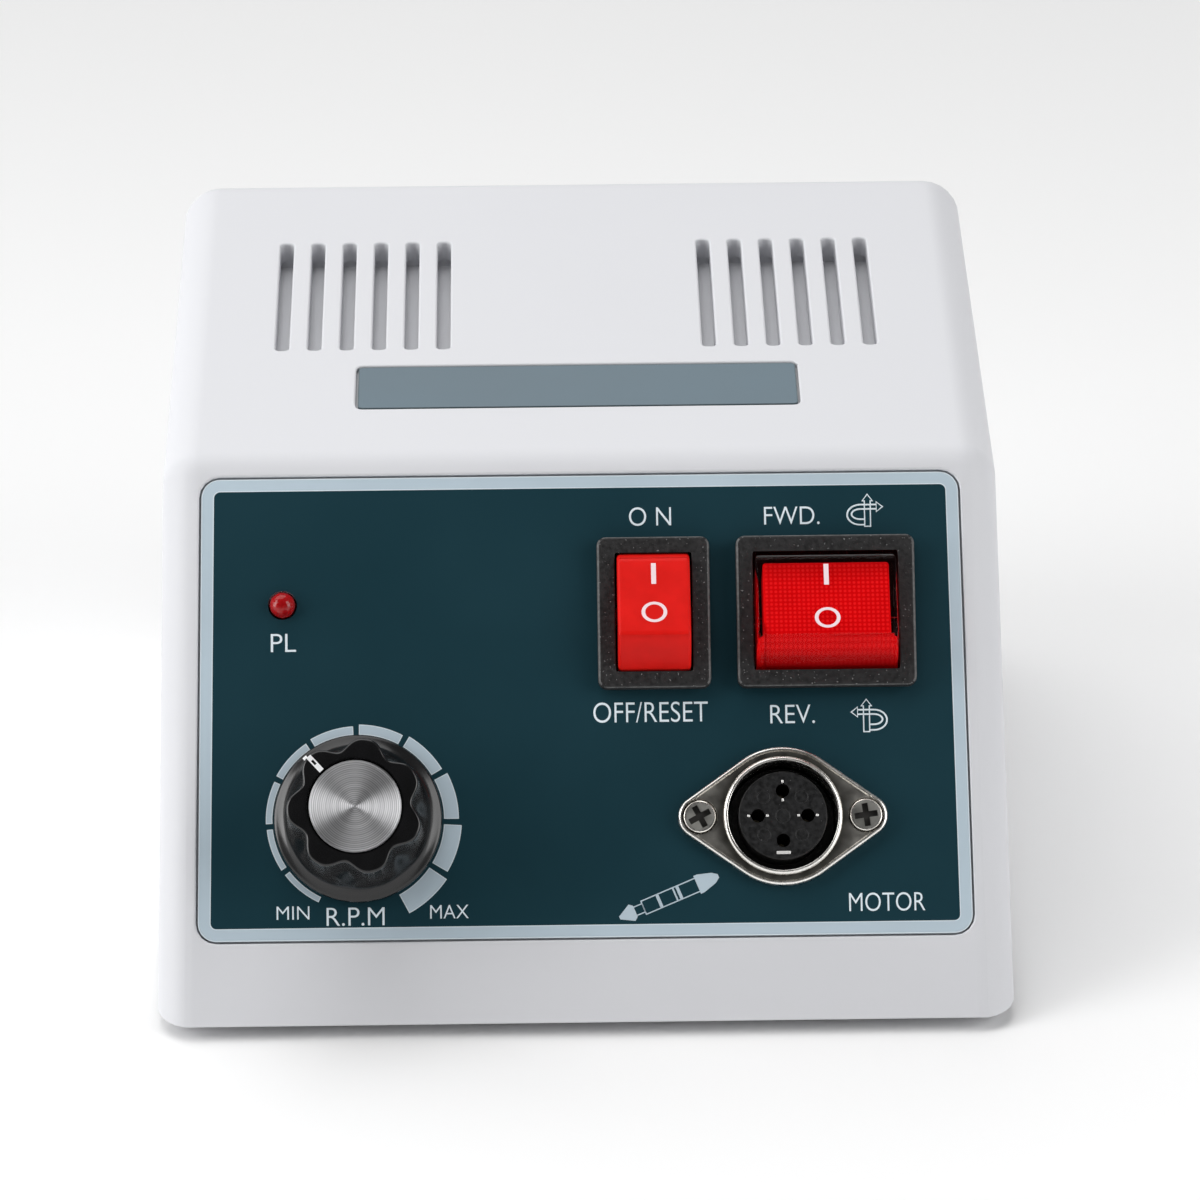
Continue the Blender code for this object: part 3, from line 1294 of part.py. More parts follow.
def make_transformer(materials):
    transformer = frame("transformer_seat", (TRANSFORMER_X, TRANSFORMER_Y, CORE_SEAT))
    make_transformer_core(materials["core"], transformer)
    make_winding(materials["winding"], transformer)
    make_strap(materials["steel"], transformer)
    for number, x in enumerate(strap_screw_places(), start=1):
        cheese_screw(
            f"transformer_screw_{number}",
            materials["steel"],
            STRAP_SCREW_RADIUS,
            STRAP_SCREW_LENGTH + STRAP_THICKNESS,
            STRAP_SCREW_HEAD_RADIUS,
            STRAP_SCREW_HEAD_HEIGHT,
            (x, TRANSFORMER_Y, STRAP_SEAT + STRAP_THICKNESS + FIT),
            False,
        )


# Control board


def board_post_spots():
    across = BOARD_WIDTH / 2 - BOARD_HOLE_INSET
    along = BOARD_LENGTH / 2 - BOARD_HOLE_INSET
    return [(BOARD_X + i * across, BOARD_Y + j * along) for i in (-1, 1) for j in (-1, 1)]


def make_board(material):
    plate = prism(rectangle(BOARD_WIDTH, BOARD_LENGTH, BOARD_X, BOARD_Y), 0, BOARD_THICKNESS)
    board = solid("control_board", plate, material, None, (0, 0, BOARD_LOW))
    for x, y in board_post_spots():
        cut(board, rod(POST_PEG_RADIUS + FIT, -OVERRUN, BOARD_THICKNESS + OVERRUN), (x, y, 0))


def make_capacitor(material):
    crimp = CAPACITOR_RADIUS - CAPACITOR_CRIMP
    groove = CAPACITOR_HEIGHT * CRIMP_SHARE
    profile = [
        (0, 0),
        (CAPACITOR_RADIUS, 0),
        (CAPACITOR_RADIUS, groove - CAPACITOR_CRIMP),
        (crimp, groove),
        (CAPACITOR_RADIUS, groove + CAPACITOR_CRIMP),
        (CAPACITOR_RADIUS, CAPACITOR_HEIGHT - CAPACITOR_ROUND),
        (CAPACITOR_RADIUS - CAPACITOR_ROUND, CAPACITOR_HEIGHT),
        (0, CAPACITOR_HEIGHT),
    ]
    x = BOARD_X - BOARD_WIDTH / 2 + CAPACITOR_RADIUS + 2 * BOARD_HOLE_INSET
    y = BOARD_Y - BOARD_LENGTH / 2 + CAPACITOR_RADIUS + 2 * BOARD_HOLE_INSET
    solid("filter_capacitor", turned(profile), material, None, (x, y, BOARD_TOP + FIT))


def make_heat_sink(material):
    """An extruded comb of fins, standing at the rear edge of the board."""
    pitch = (HEAT_SINK_WIDTH - FIN_THICKNESS) / (HEAT_SINK_FINS - 1)
    outline = [(-HEAT_SINK_WIDTH / 2, 0), (HEAT_SINK_WIDTH / 2, 0)]
    for k in reversed(range(HEAT_SINK_FINS)):
        right = -HEAT_SINK_WIDTH / 2 + FIN_THICKNESS + k * pitch
        left = right - FIN_THICKNESS
        tip = HEAT_SINK_BASE + FIN_LENGTH
        outline += [(right, HEAT_SINK_BASE)] if k < HEAT_SINK_FINS - 1 else []
        outline += [(right, tip), (left, tip)]
        outline += [(left, HEAT_SINK_BASE)] if k else []
    comb = prism(outline, 0, HEAT_SINK_HEIGHT)
    solid("heat_sink", comb, material, None, (BOARD_X, HEAT_SINK_Y, BOARD_TOP + FIT))


def make_transistor(material):
    """The power transistor, its tab against the heat sink and its legs down to the board."""
    leg_top = BOARD_TOP + FIT + TRANSISTOR_LEG_LENGTH
    back = HEAT_SINK_Y - FIT
    body_y = back - TRANSISTOR_THICKNESS / 2
    body_box = rectangle(TRANSISTOR_WIDTH, TRANSISTOR_THICKNESS, TRANSISTOR_X, body_y)
    body_top = leg_top + TRANSISTOR_BODY
    transistor = solid("power_transistor", prism(body_box, leg_top, body_top), material)
    tab_y = back - TRANSISTOR_TAB_THICKNESS / 2
    tab = rectangle(TRANSISTOR_WIDTH, TRANSISTOR_TAB_THICKNESS, TRANSISTOR_X, tab_y)
    join(transistor, prism(tab, leg_top + TRANSISTOR_BODY / 2, body_top + TRANSISTOR_TAB))
    for k in range(TRANSISTOR_LEGS):
        x = TRANSISTOR_X + (k - (TRANSISTOR_LEGS - 1) / 2) * TRANSISTOR_LEG_PITCH
        leg = rectangle(TRANSISTOR_LEG_WIDTH, TRANSISTOR_LEG_WIDTH / 2, x, body_y)
        join(transistor, prism(leg, BOARD_TOP + FIT, leg_top + TRANSISTOR_LEG_WIDTH))


# Rear fittings


def inlet_cavity_outline():
    half = INLET_CAVITY_WIDTH / 2
    low = -INLET_CAVITY_HEIGHT / 2
    high = -low
    return [
        (-half, low),
        (half, low),
        (half, high - INLET_CAVITY_CHAMFER),
        (half - INLET_CAVITY_CHAMFER, high),
        (-half + INLET_CAVITY_CHAMFER, high),
        (-half, high - INLET_CAVITY_CHAMFER),
    ]


def inlet_pin_spots():
    return [
        (-INLET_PIN_OFFSET, -INLET_LINE_DROP),
        (INLET_PIN_OFFSET, -INLET_LINE_DROP),
        (0, INLET_EARTH_RISE),
    ]


def make_inlet(plastic, metal, rear):
    """The recessed mains inlet: flange, body, keyed cavity and three blades."""
    inlet = frame("inlet_seat", (-INLET_X, REAR_HEIGHT, FIT), (0, 0, 0), rear)
    outline = rounded_rectangle(INLET_FLANGE_WIDTH, INLET_FLANGE_HEIGHT, INLET_CORNER_RADIUS)
    body = solid("mains_inlet", prism(outline, 0, INLET_FLANGE_THICKNESS), plastic, inlet)
    width = INLET_CAVITY_WIDTH + 2 * INLET_WALL
    height = INLET_CAVITY_HEIGHT + 2 * INLET_WALL
    low = INLET_CAVITY_FLOOR - INLET_FLOOR
    join(body, prism(rectangle(width, height), low, INLET_FLANGE_THICKNESS / 2))
    latch_top = -WALL - 2 * FIT
    for side in (-1, 1):
        wedge = [
            (side * (width / 2 - INLET_WALL / 2), latch_top),
            (side * (width / 2 + LATCH_REACH), latch_top),
            (side * (width / 2 - INLET_WALL / 2), latch_top - LATCH_DROP),
        ]
        join(body, front_prism(wedge, LATCH_WIDTH / 2))
    cavity = prism(inlet_cavity_outline(), INLET_CAVITY_FLOOR, INLET_FLANGE_THICKNESS + OVERRUN)
    cut(body, cavity)
    slots = [
        rectangle(INLET_PIN_WIDTH + 2 * FIT, INLET_PIN_HEIGHT + 2 * FIT, x, y)
        for x, y in inlet_pin_spots()
    ]
    cut(body, prisms(slots, low - OVERRUN, INLET_CAVITY_FLOOR + OVERRUN))
    for number, (x, y) in enumerate(inlet_pin_spots(), start=1):
        blade = rectangle(INLET_PIN_WIDTH, INLET_PIN_HEIGHT)
        tip = rectangle(INLET_PIN_WIDTH - PIN_TIP, INLET_PIN_HEIGHT - PIN_TIP)
        high = INLET_FLANGE_THICKNESS - INLET_PIN_SINK
        levels = [(blade, low - INLET_PIN_TAIL), (blade, high - PIN_TIP), (tip, high)]
        solid(f"inlet_pin_{number}", stacked(levels), metal, inlet, (x, y, 0))


def make_fuse_holder(plastic, fuse_material, rear):
    """The turned holder, the glass fuse in it and the ribbed bayonet cap."""
    seat = frame("fuse_axis", (-FUSE_X, REAR_HEIGHT, FIT), (0, 0, 0), rear)
    stem_bore = FUSE_STEM_RADIUS + FIT
    fuse_bore = FUSE_RADIUS + FIT
    step = FUSE_TOP + FIT
    floor = FUSE_TOP - FUSE_LENGTH - FIT
    low = floor - FUSE_FLOOR
    profile = [
        (0, floor),
        (fuse_bore, floor),
        (fuse_bore, step - 2 * FIT),
        (stem_bore, step - 2 * FIT),
        (stem_bore, FUSE_FLANGE_THICKNESS),
        (FUSE_FLANGE_RADIUS - FUSE_EDGE, FUSE_FLANGE_THICKNESS),
        (FUSE_FLANGE_RADIUS, FUSE_FLANGE_THICKNESS - FUSE_EDGE),
        (FUSE_FLANGE_RADIUS, 0),
        (FUSE_BODY_RADIUS, 0),
        (FUSE_BODY_RADIUS, low),
        (FUSE_LUG_RADIUS, low),
        (FUSE_LUG_RADIUS, low - FUSE_LUG_LENGTH),
        (0, low - FUSE_LUG_LENGTH),
    ]
    solid("fuse_holder", turned(profile), plastic, seat)
    bottom = FUSE_TOP - FUSE_LENGTH
    glass = FUSE_RADIUS - FUSE_GLASS_STEP
    fuse = [
        (0, bottom),
        (FUSE_RADIUS, bottom),
        (FUSE_RADIUS, bottom + FUSE_END_LENGTH),
        (glass, bottom + FUSE_END_LENGTH),
        (glass, FUSE_TOP - FUSE_END_LENGTH),
        (FUSE_RADIUS, FUSE_TOP - FUSE_END_LENGTH),
        (FUSE_RADIUS, FUSE_TOP),
        (0, FUSE_TOP),
    ]
    solid("fuse", turned(fuse, SMALL_STEPS), fuse_material, seat)
    make_fuse_cap(plastic, seat)


def ribbed_ring(radius, height):
    ring = []
    for k in range(CAP_GRIP_RIBS):
        for pitch_share, dip_share in GRIP_RIB_SHARES:
            angle = WHOLE_TURN * (k + pitch_share) / CAP_GRIP_RIBS
            reach = radius - CAP_GRIP_DEPTH * dip_share
            ring.append((reach * math.cos(angle), reach * math.sin(angle), height))
    return ring


def make_fuse_cap(plastic, seat):
    low = FUSE_FLANGE_THICKNESS + FIT
    high = low + CAP_GRIP_LENGTH
    rings = [
        ribbed_ring(CAP_GRIP_RADIUS, low),
        ribbed_ring(CAP_GRIP_RADIUS, high - CAP_GRIP_ROUND),
        ribbed_ring(CAP_GRIP_RADIUS - CAP_GRIP_ROUND, high),
    ]
    cap = solid("fuse_cap", lofted(rings), plastic, seat)
    join(cap, rod(FUSE_STEM_RADIUS, FUSE_TOP + FIT, (low + high) / 2, ROUND_STEPS))
    slot = rectangle(2 * CAP_GRIP_RADIUS + OVERRUN, CAP_SLOT_WIDTH)
    cut(cap, prism(slot, high - CAP_SLOT_DEPTH, high + OVERRUN))


def make_foot_jack(plastic, metal, rear):
    """The foot pedal jack: a boxed body, its threaded bushing and the nut that holds it."""
    jack = frame("jack_seat", (-JACK_X, REAR_HEIGHT, 0), (0, 0, 0), rear)
    seat = INNER_FACE - FIT
    low = seat - JACK_BODY_LENGTH
    box = prism(rectangle(JACK_BODY_WIDTH, JACK_BODY_WIDTH), low, seat)
    body = solid("foot_jack", box, plastic, jack)
    join(body, rod(JACK_BUSHING_RADIUS, seat + INNER_FACE, JACK_BUSHING_RISE, ROUND_STEPS))
    for side in (-1, 1):
        lug = rectangle(JACK_LUG_WIDTH, JACK_LUG_THICKNESS, side * JACK_LUG_OFFSET)
        join(body, prism(lug, low - JACK_LUG_LENGTH, low + JACK_LUG_THICKNESS))
    cut(body, rod(JACK_BORE_RADIUS, low + WALL, JACK_BUSHING_RISE + OVERRUN, ROUND_STEPS))
    bore = JACK_BUSHING_RADIUS + THREAD_PLAY
    hex_nut("foot_jack_nut", metal, jack, (0, 0, FIT), JACK_NUT_RADIUS, bore, JACK_NUT_THICKNESS)


def make_materials():
    return {
        "housing": finish("housing white", (0.78, 0.78, 0.82), 0.45),
        "base": finish("base plastic", (0.60, 0.60, 0.64), 0.5),
        "panel": finish("panel teal", (0.018, 0.042, 0.055), 0.4),
        "strip": finish("strip grey", (0.15, 0.21, 0.24), 0.4),
        "rubber": finish("foot rubber", (0.02, 0.02, 0.02), 0.85),
        "frame": finish("switch black", (0.02, 0.02, 0.022), 0.55),
        "power_rocker": finish("rocker red", (0.75, 0.012, 0.010), 0.35),
        "direction_rocker": finish("lens red", (0.60, 0.002, 0.004), 0.12),
        "brass": finish("contact brass", (0.75, 0.55, 0.25), 0.3, 1.0),
        "knob": finish("knob black", (0.008, 0.008, 0.009), 0.22),
        "cap": finish("spun aluminium", (0.70, 0.70, 0.72), 0.3, 1.0),
        "socket": finish("socket nickel", (0.55, 0.53, 0.50), 0.28, 1.0),
        "insert": finish("insert black", (0.012, 0.012, 0.013), 0.4),
        "steel": finish("zinc steel", (0.60, 0.60, 0.60), 0.35, 1.0),
        "lamp": finish("lamp red", (0.45, 0.01, 0.015), 0.15),
        "core": finish("core steel", (0.16, 0.16, 0.17), 0.5, 1.0),
        "winding": finish("winding tape", (0.75, 0.55, 0.08), 0.5),
        "board": finish("board green", (0.02, 0.16, 0.06), 0.4),
        "capacitor": finish("capacitor sleeve", (0.01, 0.01, 0.03), 0.3),
        "heat_sink": finish("black aluminium", (0.03, 0.03, 0.03), 0.45, 1.0),
        "fuse": finish("fuse glass", (0.60, 0.62, 0.62), 0.15),
    }


def main():
    clear_scene()
    materials = make_materials()
    panel = frame("panel_frame", (0, FRONT_Y, BASE_LEVEL), (math.pi / 2 - PANEL_LEAN, 0, 0))
    fold = (0, FRONT_Y + PANEL_RUN, BASE_LEVEL + PANEL_CLIMB)
    top = frame("top_frame", fold, (TOP_SLOPE, 0, 0))
    rear = frame("rear_frame", (0, BACK_Y, BASE_LEVEL), (math.pi / 2 - BACK_DRAFT, 0, math.pi))
    make_housing(materials["housing"], panel, top, rear)
    make_front_panel(materials["panel"], panel)
    make_name_strip(materials["strip"], top)
    make_base_plate(materials["base"])
    make_feet(materials["rubber"], materials["steel"])
    make_switch(
        "power", materials, panel, POWER_X, POWER_BEZEL_WIDTH, POWER_OPENING_WIDTH, (0,), (0, -1)
    )
    make_switch(
        "direction",
        materials,
        panel,
        DIRECTION_X,
        DIRECTION_BEZEL_WIDTH,
        DIRECTION_OPENING_WIDTH,
        (-DIRECTION_COLUMN_OFFSET, DIRECTION_COLUMN_OFFSET),
        (-1, 0, 1),
    )
    knob_axis = frame("speed_axis", (SPEED_X, SPEED_Y, KNOB_BASE), (0, 0, 0), panel)
    make_knob(materials["knob"], knob_axis)
    make_knob_cap(materials["cap"], knob_axis)
    make_set_screw(materials["steel"], knob_axis)
    make_pot_shaft(materials["steel"], knob_axis)
    make_potentiometer(materials["steel"], panel)
    nut_place = (SPEED_X, SPEED_Y, SEAT)
    nut_bore = BUSHING_RADIUS + THREAD_PLAY
    hex_nut("pot_nut", materials["steel"], panel, nut_place, POT_NUT_RADIUS, nut_bore, NUT_RISE)
    socket = frame("socket_seat", (SOCKET_X, SOCKET_Y, SEAT), (0, 0, 0), panel)
    make_socket_shell(materials["socket"], socket)
    make_socket_insert(materials["insert"], socket)
    make_contacts(materials["brass"], socket)
    make_socket_screws(materials["socket"], socket)
    make_lamp(materials["lamp"], panel)
    make_transformer(materials)
    make_board(materials["board"])
    make_capacitor(materials["capacitor"])
    make_heat_sink(materials["heat_sink"])
    make_transistor(materials["frame"])
    make_inlet(materials["insert"], materials["brass"], rear)
    make_fuse_holder(materials["insert"], materials["fuse"], rear)
    make_foot_jack(materials["insert"], materials["socket"], rear)


main()
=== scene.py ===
# %% [markdown]
# # Dressing the control box of a bench micromotor
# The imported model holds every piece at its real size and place. This lesson loads it, sets up a
# camera and a soft studio, and then gives each piece its finish: first the housing, then the
# printed panel, the switches, the knob, the socket, and at last what is behind and inside.

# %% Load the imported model
import json
import math

import bmesh
import bpy
from mathutils import Matrix, Vector


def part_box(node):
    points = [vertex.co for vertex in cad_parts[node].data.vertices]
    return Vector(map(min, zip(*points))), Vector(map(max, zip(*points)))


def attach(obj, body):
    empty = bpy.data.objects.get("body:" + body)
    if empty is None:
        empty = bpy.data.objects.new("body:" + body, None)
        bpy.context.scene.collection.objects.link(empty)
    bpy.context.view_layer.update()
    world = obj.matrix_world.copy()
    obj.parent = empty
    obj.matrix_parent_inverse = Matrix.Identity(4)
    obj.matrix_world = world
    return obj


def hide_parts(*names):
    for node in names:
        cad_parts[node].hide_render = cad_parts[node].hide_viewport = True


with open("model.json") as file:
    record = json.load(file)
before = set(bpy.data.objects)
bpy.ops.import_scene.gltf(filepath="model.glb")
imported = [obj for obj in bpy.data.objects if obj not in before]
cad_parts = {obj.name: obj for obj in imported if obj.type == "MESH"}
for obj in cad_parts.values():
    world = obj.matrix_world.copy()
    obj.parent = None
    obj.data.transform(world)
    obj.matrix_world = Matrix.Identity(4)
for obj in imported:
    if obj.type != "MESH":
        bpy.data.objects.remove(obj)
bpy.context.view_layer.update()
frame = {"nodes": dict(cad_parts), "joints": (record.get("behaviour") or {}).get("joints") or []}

MM = 0.001

# %% [markdown]
# ## The camera
# A product photograph is taken from far off with a long lens, so that the box keeps its shape.
# The camera could be placed by eye. Here its distance, height and lens were worked out from
# points that are easy to find in the photograph, such as the corners of the switches, so that
# every piece lands where the photograph has it.

# %% Camera
CAMERA_DISTANCE = 0.8419
CAMERA_ELEVATION = math.radians(24.993)
CAMERA_AZIMUTH = math.radians(-0.849)
CAMERA_ROLL = math.radians(-0.316)
CAMERA_AIM = Vector((2.99 * MM, 0, 34.16 * MM))
CAMERA_LENS = 179.28
CAMERA_SENSOR = 36

level = math.cos(CAMERA_ELEVATION)
backward = Vector(
    (math.sin(CAMERA_AZIMUTH) * level, -math.cos(CAMERA_AZIMUTH) * level, math.sin(CAMERA_ELEVATION))
)
sideways = Vector((math.cos(CAMERA_AZIMUTH), math.sin(CAMERA_AZIMUTH), 0))
turn = Matrix((sideways, backward.cross(sideways), backward)).transposed().to_4x4()
bpy.ops.object.camera_add()
camera = bpy.context.object
camera.matrix_world = (
    Matrix.Translation(CAMERA_AIM + backward * CAMERA_DISTANCE)
    @ turn
    @ Matrix.Rotation(CAMERA_ROLL, 4, "Z")
)
camera.data.lens = CAMERA_LENS
camera.data.sensor_width = CAMERA_SENSOR
bpy.context.scene.camera = camera
bpy.context.scene.view_settings.view_transform = "Standard"
print("camera at", tuple(camera.matrix_world.translation))

# %% [markdown]
# ## Three faces to work from
# Nearly every fitting stands on one of three flat faces: the sloping front, the top or the rear
# wall. Each gets a matrix of its own: X to the right, Y up the face and Z out of it. A piece is
# then modelled flat, as on a bench, and its mesh is laid on the face at the end, which keeps
# every object at the origin.

# %% The faces of the box
PANEL_LEAN = math.radians(34)
PANEL_LENGTH = 77 * MM
TOP_SLOPE = math.radians(8)
BACK_DRAFT = math.radians(1)
SIDE_DRAFT = math.radians(0.8)

housing_low, housing_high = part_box("housing")
front_foot = Matrix.Translation((0, housing_low.y, housing_low.z))
panel_face = front_foot @ Matrix.Rotation(math.pi / 2 - PANEL_LEAN, 4, "X")
fold = Matrix.Translation(panel_face @ Vector((0, PANEL_LENGTH, 0)))
top_face = fold @ Matrix.Rotation(TOP_SLOPE, 4, "X")
back_foot = Matrix.Translation((0, housing_high.y, housing_low.z))
rear_face = back_foot @ Matrix.Rotation(math.pi, 4, "Z") @ Matrix.Rotation(math.pi / 2 - BACK_DRAFT, 4, "X")
print("panel starts at", tuple(panel_face.translation), "top starts at", tuple(top_face.translation))


def joint_spot(name, face):
    """Where a joint's axis stands, in the coordinates of one face."""
    joint = next(joint for joint in frame["joints"] if joint["name"] == name)
    return face.inverted() @ Vector(joint["pos_m"])


speed_spot = joint_spot("speed_knob_turn", panel_face)
power_spot = joint_spot("power_rocker_tilt", panel_face)
direction_spot = joint_spot("direction_rocker_tilt", panel_face)
print("knob", tuple(speed_spot), "rockers", tuple(power_spot), tuple(direction_spot))

# %% [markdown]
# ## The tools of this lesson
# Blender's operators act on what is selected. Small helpers keep that in order: they select an
# object, join several, open a mesh for editing, pick parts of it by a test, raise what is picked,
# close the mesh again, and apply a modifier.

# %% Helpers for selecting and editing
def select_only(*pieces):
    bpy.ops.object.select_all(action="DESELECT")
    for piece in pieces:
        piece.select_set(True)
    bpy.context.view_layer.objects.active = pieces[0]


def join(pieces):
    select_only(*pieces)
    bpy.ops.object.join()
    return pieces[0]


def open_mesh(piece):
    """Starts editing, with the whole mesh selected."""
    select_only(piece)
    bpy.ops.object.mode_set(mode="EDIT")
    bpy.ops.mesh.select_all(action="SELECT")


def close_mesh():
    bpy.ops.object.mode_set(mode="OBJECT")


def close_outward():
    """Turns every face of the open mesh outwards, and ends editing."""
    bpy.ops.mesh.select_all(action="SELECT")
    bpy.ops.mesh.normals_make_consistent(inside=False)
    close_mesh()


def raise_by(height):
    """Extrudes what is selected straight up."""
    bpy.ops.mesh.extrude_region_move(TRANSFORM_OT_translate={"value": (0, 0, height)})


def pick(piece, kind, test):
    """Selects the vertices, edges or faces that pass the test, in edit mode."""
    bpy.ops.mesh.select_mode(type=kind)
    bpy.ops.mesh.select_all(action="DESELECT")
    mesh = bmesh.from_edit_mesh(piece.data)
    items = {"VERT": mesh.verts, "EDGE": mesh.edges, "FACE": mesh.faces}[kind]
    chosen = [item for item in items if test(item)]
    for item in chosen:
        item.select_set(True)
    bmesh.update_edit_mesh(piece.data)
    return len(chosen)


def apply_modifier(piece, kind, **settings):
    select_only(piece)
    modifier = piece.modifiers.new(kind.lower(), kind)
    for key, value in settings.items():
        setattr(modifier, key, value)
    bpy.ops.object.modifier_apply(modifier=modifier.name)


# %% Helpers for cutting, joining and easing edges
SMOOTH_ANGLE = math.radians(32)


def carve(piece, tool, operation="DIFFERENCE"):
    """Cuts the tool out of the piece, or joins it on, and throws the tool away."""
    apply_modifier(piece, "BOOLEAN", object=tool, operation=operation, solver="EXACT")
    bpy.data.objects.remove(tool)


def bake_place(piece):
    select_only(piece)
    bpy.ops.object.transform_apply(location=True, rotation=True, scale=True)


def ease(piece, width, steps=3, angle=SMOOTH_ANGLE):
    """Rounds the sharp edges and lets the flat faces keep their shading."""
    apply_modifier(
        piece,
        "BEVEL",
        width=width,
        segments=steps,
        limit_method="ANGLE",
        angle_limit=angle,
        use_clamp_overlap=False,
    )
    smooth(piece)


def smooth(piece):
    select_only(piece)
    bpy.ops.object.shade_smooth_by_angle(angle=SMOOTH_ANGLE)
    apply_modifier(piece, "WEIGHTED_NORMAL", keep_sharp=True)


# %% Helpers for plain stock
ROUND_SIDES = 96


def added(operator, name="stock", **settings):
    """Runs an operator that adds a mesh, and takes its place and turn into the mesh."""
    bpy.ops.object.select_all(action="DESELECT")
    operator(**settings)
    made = bpy.context.object
    made.name = name
    bake_place(made)
    return made


def rod(radius, low, high, x=0.0, y=0.0, sides=ROUND_SIDES):
    sizes = {"vertices": sides, "radius": radius, "depth": high - low}
    return added(bpy.ops.mesh.primitive_cylinder_add, location=(x, y, (low + high) / 2), **sizes)


def block(width, length, low, high, x=0.0, y=0.0):
    sizes = {"size": 1, "scale": (width, length, high - low)}
    return added(bpy.ops.mesh.primitive_cube_add, location=(x, y, (low + high) / 2), **sizes)


def give_finishes(piece, finishes):
    """Fills the material slots in order. Faces keep the slot that they had."""
    for number, finish in enumerate(finishes):
        if number < len(piece.data.materials):
            piece.data.materials[number] = finish
        else:
            piece.data.materials.append(finish)


def lay_on(piece, face, body, slot, *finishes):
    """Lays a finished mesh on its face, gives it its finish and the body that it moves with."""
    piece.data.transform(face)
    piece.data.update()
    give_finishes(piece, finishes)
    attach(piece, body)
    print(piece.name, "faces", len(piece.data.polygons))


# %% [markdown]
# ## How the finishes are made
# A moulded or plated surface is never one even colour. Each finish here starts from a Principled
# shader and adds three things in the object's own coordinates: a slow change of tone, a change of
# gloss, and a fine relief as deep as the mould or the polish leaves. Nothing is painted from a
# picture, so the finish looks right from every side.

# %% Helpers for shader nodes
def node(tree, kind, inputs=None, out=0, **settings):
    """Adds a node, sets or links its inputs, and gives back one of its outputs."""
    made = tree.nodes.new("ShaderNode" + kind)
    for key, value in settings.items():
        setattr(made, key, value)
    for key, value in (inputs or {}).items():
        if isinstance(value, bpy.types.NodeSocket):
            tree.links.new(value, made.inputs[key])
        else:
            made.inputs[key].default_value = value
    return made.outputs[out]


def spread(tree, value, low, high, to_low=0.0, to_high=1.0):
    """Stretches one range of a value over another."""
    return node(
        tree,
        "MapRange",
        {"Value": value, "From Min": low, "From Max": high, "To Min": to_low, "To Max": to_high},
    )


def calculate(tree, operation, *values):
    """One step of arithmetic on one or two values."""
    return node(tree, "Math", dict(enumerate(values)), operation=operation)


def blend(tree, share, first, second):
    """Mixes two colours by a share."""
    return node(tree, "Mix", {0: share, 6: first, 7: second}, out=2, data_type="RGBA")


def opaque(color, factor=1.0):
    return tuple(min(channel * factor, 1.0) for channel in color) + (1.0,)


def object_place(tree, face=None):
    """The object's own coordinates, or those of one face of the box."""
    place = node(tree, "TexCoord", out="Object")
    if face is None:
        return place
    inputs = {"Vector": place, "Location": face.translation, "Rotation": face.to_euler()}
    return node(tree, "Mapping", inputs, vector_type="TEXTURE")


def along_axis(tree, axis, face=None):
    """How far a point lies along one axis of the object or of a face."""
    return node(tree, "SeparateXYZ", {0: object_place(tree, face)}, out=axis)


def flat_place(tree, face):
    """A face's coordinates without the height, so that their length is the way from its axis."""
    return node(tree, "VectorMath", {0: object_place(tree, face), 1: (1, 1, 0)}, operation="MULTIPLY")


# %% Helpers for a finish
SPECULAR = "Specular IOR Level"
NOISE_LOW = 0.3
NOISE_HIGH = 0.7


def inputs_of(material):
    return material.node_tree.nodes["Principled BSDF"].inputs


def surface(
    name, color, roughness, metallic=0.0, tone=0.05, patch=12, gloss=0.06, grain=0.3, relief=0.0, extra=None
):
    """A finish whose tone and gloss wander over patches, with a fine relief. Lengths are in mm."""
    material = bpy.data.materials.new(name)
    material.use_nodes = True
    tree = material.node_tree
    shader = inputs_of(material)
    for key, value in {"Metallic": metallic, **(extra or {})}.items():
        shader[key].default_value = value
    place = object_place(tree)
    slow = node(tree, "TexNoise", {"Vector": place, "Scale": 1 / (patch * MM), "Detail": 3.0})
    share = spread(tree, slow, NOISE_LOW, NOISE_HIGH)
    shade = blend(tree, share, opaque(color, 1 - tone), opaque(color, 1 + tone))
    tree.links.new(shade, shader["Base Color"])
    worn = spread(tree, slow, NOISE_LOW, NOISE_HIGH, roughness - gloss, roughness + gloss)
    tree.links.new(worn, shader["Roughness"])
    if relief:
        fine = node(tree, "TexNoise", {"Vector": place, "Scale": 1 / (grain * MM), "Detail": 2.0})
        bump = node(tree, "Bump", {"Height": fine, "Strength": 1.0, "Distance": relief * MM})
        tree.links.new(bump, shader["Normal"])
    return material


def repaint(material, share, color):
    """Paints a colour over what feeds the shader, where the share is high."""
    tree = material.node_tree
    target = inputs_of(material)["Base Color"]
    tree.links.new(blend(tree, share, target.links[0].from_socket, opaque(color)), target)


# %% [markdown]
# ## The studio
# The box stands on a white sweep. The floor is simply pale, so it keeps the box's soft shadow.
# The room is a gradient by direction: white at the horizon, as a sweep is, and dim higher up, so
# that the dark panel and the black knob have something dark to mirror. It is dim on the
# photographer's side too, though the camera itself always sees the white. The main light is broad
# and comes from above and behind, which leaves the sloping front a tone darker than the top. A
# tall soft box on each side lights the front and draws the bright wedges on the turned metal, and
# a small one close above makes the front fade a little towards its foot.

# %% Floor
FLOOR_SIZE = 12.0
floor_paint = surface(
    "floor_paint", (0.965, 0.965, 0.965), 0.7, tone=0.004, patch=300, gloss=0.05, grain=2, relief=0.02
)
floor = added(bpy.ops.mesh.primitive_plane_add, "floor", size=FLOOR_SIZE)
floor.data.materials.append(floor_paint)
print("floor", tuple(floor.dimensions))

